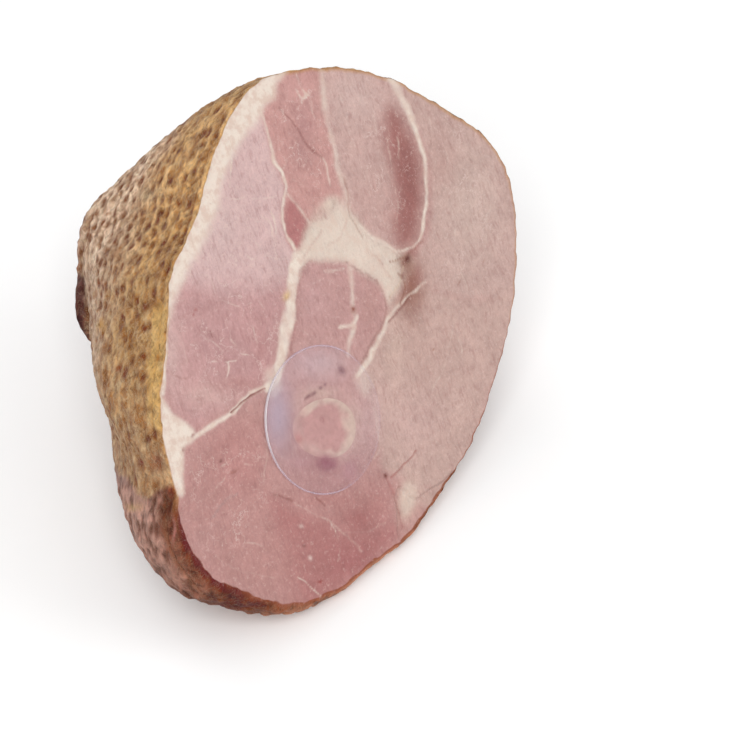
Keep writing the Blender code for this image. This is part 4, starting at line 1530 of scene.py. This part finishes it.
# %% [markdown]
# Sawn bone is drier than the meat and finely scored by the saw. The scores could be cut into the mesh,
# but they are a tenth of a millimetre deep, so a bump of close straight lines makes them.

# %% The bone's finish
bone = Finish("bone_finish")
where = bone.places()
scored = bone.node("ShaderNodeTexWave", {"bands_direction": "DIAGONAL"},
                   {"Vector": where, "Scale": 900.0, "Distortion": 3.0, "Detail": 2.0}, "Fac")
pores = bone.noise(where, 900.0, 3.0, 0.6)
tone = 0.86 + 0.20 * pores + 0.05 * scored
bone.set(Base_Color=bone.shade(bone.mark("paint"), tone), Roughness=0.40 + 0.2 * pores,
         Normal=bone.bump(pores + 0.3 * scored, 0.3, 0.3 * MM), Specular_IOR_Level=DAMP_SHEEN)
print(bone.made.name, "has", len(bone.tree.nodes), "nodes")

# %% [markdown]
# The guard is thin and clear. It could be a glass shader, but that darkens what lies under it. So its
# haze is how much of its own pale lavender covers the meat, and on the bead a painted glint turns it near
# white.
# That amount was marked on the vertices, and small ripples in the sheet bend its highlights.

# %% The guard's finish
LAVENDER = (224, 210, 230)
PAINTED_GLINT_WHITE = (246, 240, 242)

plastic = Finish("clear_plastic_finish")
where = plastic.places()
ripple = plastic.noise(where, 70.0, 2.0, 0.5)
speck = plastic.noise(where, 500.0, 2.0, 0.5)
haze_mark = plastic.mark("haze", "Fac")
# painted highlight: where the haze and glint mark is high, on the bead, the film turns near white
film = plastic.mix(plastic.ramp(haze_mark, 0.28, 0.5), light(*LAVENDER), light(*PAINTED_GLINT_WHITE))
plastic.set(Base_Color=film, Alpha=haze_mark * (0.95 + 0.1 * speck), Roughness=0.12 + 0.12 * ripple,
            Normal=plastic.bump(ripple, 0.25, 2 * MM), IOR=1.45)
print(plastic.made.name, "has", len(plastic.tree.nodes), "nodes")

# %% [markdown]
# The finish reads places of its own for threads and fibres. Plain places would do, but fibres run along a
# muscle and threads wind round the ham. So the places are squeezed or twisted first, and marked on the
# vertices.

# %% Marks for the finish
CELL_AREAS = (
    (((200, 200), (250, 190), (280, 220), (290, 260), (284, 340), (270, 384), (240, 400), (205, 415),
      (178, 405), (166, 360), (168, 310), (180, 260)), 14),
    (((190, 470), (230, 440), (262, 450), (262, 520), (235, 560), (200, 545)), 20),
    (((275, 80), (320, 80), (340, 180), (300, 200), (275, 130)), 16),
    (((355, 100), (395, 110), (415, 150), (395, 230), (360, 200)), 20),
    (((440, 120), (490, 150), (505, 210), (495, 290), (445, 280), (434, 200)), 22),
)
MEAN_RADIUS = 0.115
THREAD_TURN = 9.0
THREAD_STRETCH = 0.75
FIBRE_STRETCH = 0.16
FIBRE_FINENESS = 3.2
FIBRE_SLANT = math.radians(18)


def threads_mark(places, angle, depth, turn):
    """Where a thread lies: places round a cylinder twisted by the depth, plain places on the shank end."""
    twisted = angle - turn * depth
    across, up = MEAN_RADIUS * np.cos(twisted), MEAN_RADIUS * np.sin(twisted)
    round_ham = np.stack((across, up, THREAD_STRETCH * depth), -1)
    return np.where((depth > BODY_DEPTH + 1 * MM)[:, None], places, round_ham)


def fibres_mark(pixels, slant):
    """Where a fibre lies: pixels turned by the fibres' slant and squeezed along them, in metres."""
    c, s = math.cos(slant), math.sin(slant)
    across = pixels[:, 0] * c - pixels[:, 1] * s
    down = pixels[:, 0] * s + pixels[:, 1] * c
    return np.stack((across, FIBRE_STRETCH * down, 0 * down), -1) * metres_a_pixel * FIBRE_FINENESS


def meat_marks(places, angle, depth, pixels, paint, rind, outside, fat, cells, slant):
    """What the meat's finish reads on each vertex: its paint, skins, fat, and where its threads lie."""
    return {
        "paint": own_colour(paint), "rind": rind * outside,
        "fat": fat, "cells": cells, "bare": (1 - rind) * outside,
        "thread_a": threads_mark(places, angle, depth, THREAD_TURN),
        "thread_b": threads_mark(places, angle, depth, -THREAD_TURN),
        "fibre": fibres_mark(pixels, slant),
    }


slice_cells = on_face * np.max(
    [area(slice_pixels, outline, softness) for outline, softness in CELL_AREAS], axis=0)
print("areas of marbled cells:", len(CELL_AREAS))

# %% [markdown]
# Now the arrays become pieces. Blender could add them face by face, but it takes whole arrays far
# quicker. Each piece stands for its solid of the packed model, so it rides on the same body.

# %% Make the pieces
def make_piece(name, places, triangles, finish, **marks):
    """A mesh object from arrays of places and triangles, with a value or colour mark on each vertex."""
    mesh = bpy.data.meshes.new(name)
    mesh.vertices.add(len(places))
    mesh.vertices.foreach_set("co", np.asarray(places, np.float32).ravel())
    mesh.loops.add(triangles.size)
    mesh.loops.foreach_set("vertex_index", triangles.astype(np.int32).ravel())
    mesh.polygons.add(len(triangles))
    mesh.polygons.foreach_set("loop_start", np.arange(0, triangles.size, 3, dtype=np.int32))
    mesh.update(calc_edges=True)
    for mark, values in marks.items():
        kind = "FLOAT_COLOR" if np.ndim(values) == 2 else "FLOAT"
        layer = mesh.attributes.new(mark, kind, "POINT")
        if kind == "FLOAT_COLOR":
            values = np.column_stack((values, np.ones(len(values))))
            layer.data.foreach_set("color", values.astype(np.float32).ravel())
        else:
            layer.data.foreach_set("value", np.asarray(values, np.float32))
    mesh.materials.append(finish)
    mesh.polygons.foreach_set("use_smooth", np.ones(len(triangles), bool))
    mesh.validate()
    piece = bpy.data.objects.new(name, mesh)
    bpy.context.scene.collection.objects.link(piece)
    print(name, "has", len(mesh.polygons), "triangles")
    return piece


front_slice = make_piece("front_slice", slice_places, split(slice_quads), meat.made, **meat_marks(
    slice_places, slice_angle, slice_depth, slice_pixels, slice_paint, slice_rind, ~on_face,
    slice_fat, slice_cells, FIBRE_SLANT))
sliced_body = make_piece("sliced_body", body_places, split(body_quads), meat.made, **meat_marks(
    body_places, body_direction, body_depth, body_pixels, body_paint, body_rind, True,
    0 * body_rind, 0 * body_rind, 0.0))
leg_bone = make_piece("leg_bone_sawn", bone_all, bone_triangles, bone.made, paint=own_colour(bone_paint))
bone_guard = make_piece("bone_guard_disc", guard_places, split(guard_quads), plastic.made, haze=haze)

for piece, node, slot in (
    (front_slice, "ham", "cured_meat"),
    (sliced_body, "ham", "cured_meat"),
    (leg_bone, "leg_bone", "bone"),
    (bone_guard, "bone_guard", "clear_plastic"),
):
    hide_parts(node)
    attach(piece, "root")

# faces must look outward: a closed mesh that does encloses a positive volume
for piece in (front_slice, sliced_body, leg_bone, bone_guard):
    check = bmesh.new()
    check.from_mesh(piece.data)
    print(piece.name, "volume (mL):", round(check.calc_volume(signed=True) * 1e6, 2),
          "open edges:", sum(not edge.is_manifold for edge in check.edges))
    check.free()

# %% [markdown]
# The studio is plain: a pale floor, a wide soft light above on the left, a weaker one on the right and a
# bright even surround. One strong lamp could do, but it would put hard glints on damp meat. Under wide
# soft lights the meat's own colours show.

# %% Floor and light
FLOOR_HALF = 4.0
SURROUND_STRENGTH = 0.62

floor_mesh = bpy.data.meshes.new("floor")
corners = [(x * FLOOR_HALF, y * FLOOR_HALF, 0) for x, y in ((-1, -1), (1, -1), (1, 1), (-1, 1))]
floor_mesh.from_pydata(corners, [], [(0, 1, 2, 3)])
floor = bpy.data.objects.new("floor", floor_mesh)
bpy.context.scene.collection.objects.link(floor)
paper = Finish("floor_paper")
paper_low = (*screen(250, 250, 250), 1.0)
paper_high = (*screen(252, 252, 252), 1.0)
paper.set(Base_Color=paper.mix(paper.noise(paper.places(), 40.0), paper_low, paper_high), Roughness=0.9)
floor_mesh.materials.append(paper.made)

world = bpy.data.worlds.new("surround")
world.use_nodes = True
surround = world.node_tree.nodes["Background"].inputs
surround["Color"].default_value = (1.0, 1.0, 1.0, 1.0)
surround["Strength"].default_value = SURROUND_STRENGTH
bpy.context.scene.world = world
bpy.context.scene.view_settings.view_transform = "Standard"


def add_light(name, away, size, power):
    """A square soft light at a place away from the ham, turned to face the middle of the floor."""
    data = bpy.data.lights.new(name, "AREA")
    data.shape = "SQUARE"
    data.size = size
    data.energy = power
    lamp = bpy.data.objects.new(name, data)
    away = np.array(away, float)
    lamp.location = away
    lamp.rotation_euler = look_along(away / np.linalg.norm(away), np.array((0.0, 0.0, 1.0)))
    bpy.context.scene.collection.objects.link(lamp)
    return lamp


add_light("key", (-1.3, -0.9, 1.7), 1.2, 26.0)
add_light("fill", (0.9, -1.6, 1.1), 1.4, 12.0)
add_light("back", (0.4, 1.6, 1.5), 1.2, 8.0)
print("lights:", sorted(data.name for data in bpy.data.lights))

# %% [markdown]
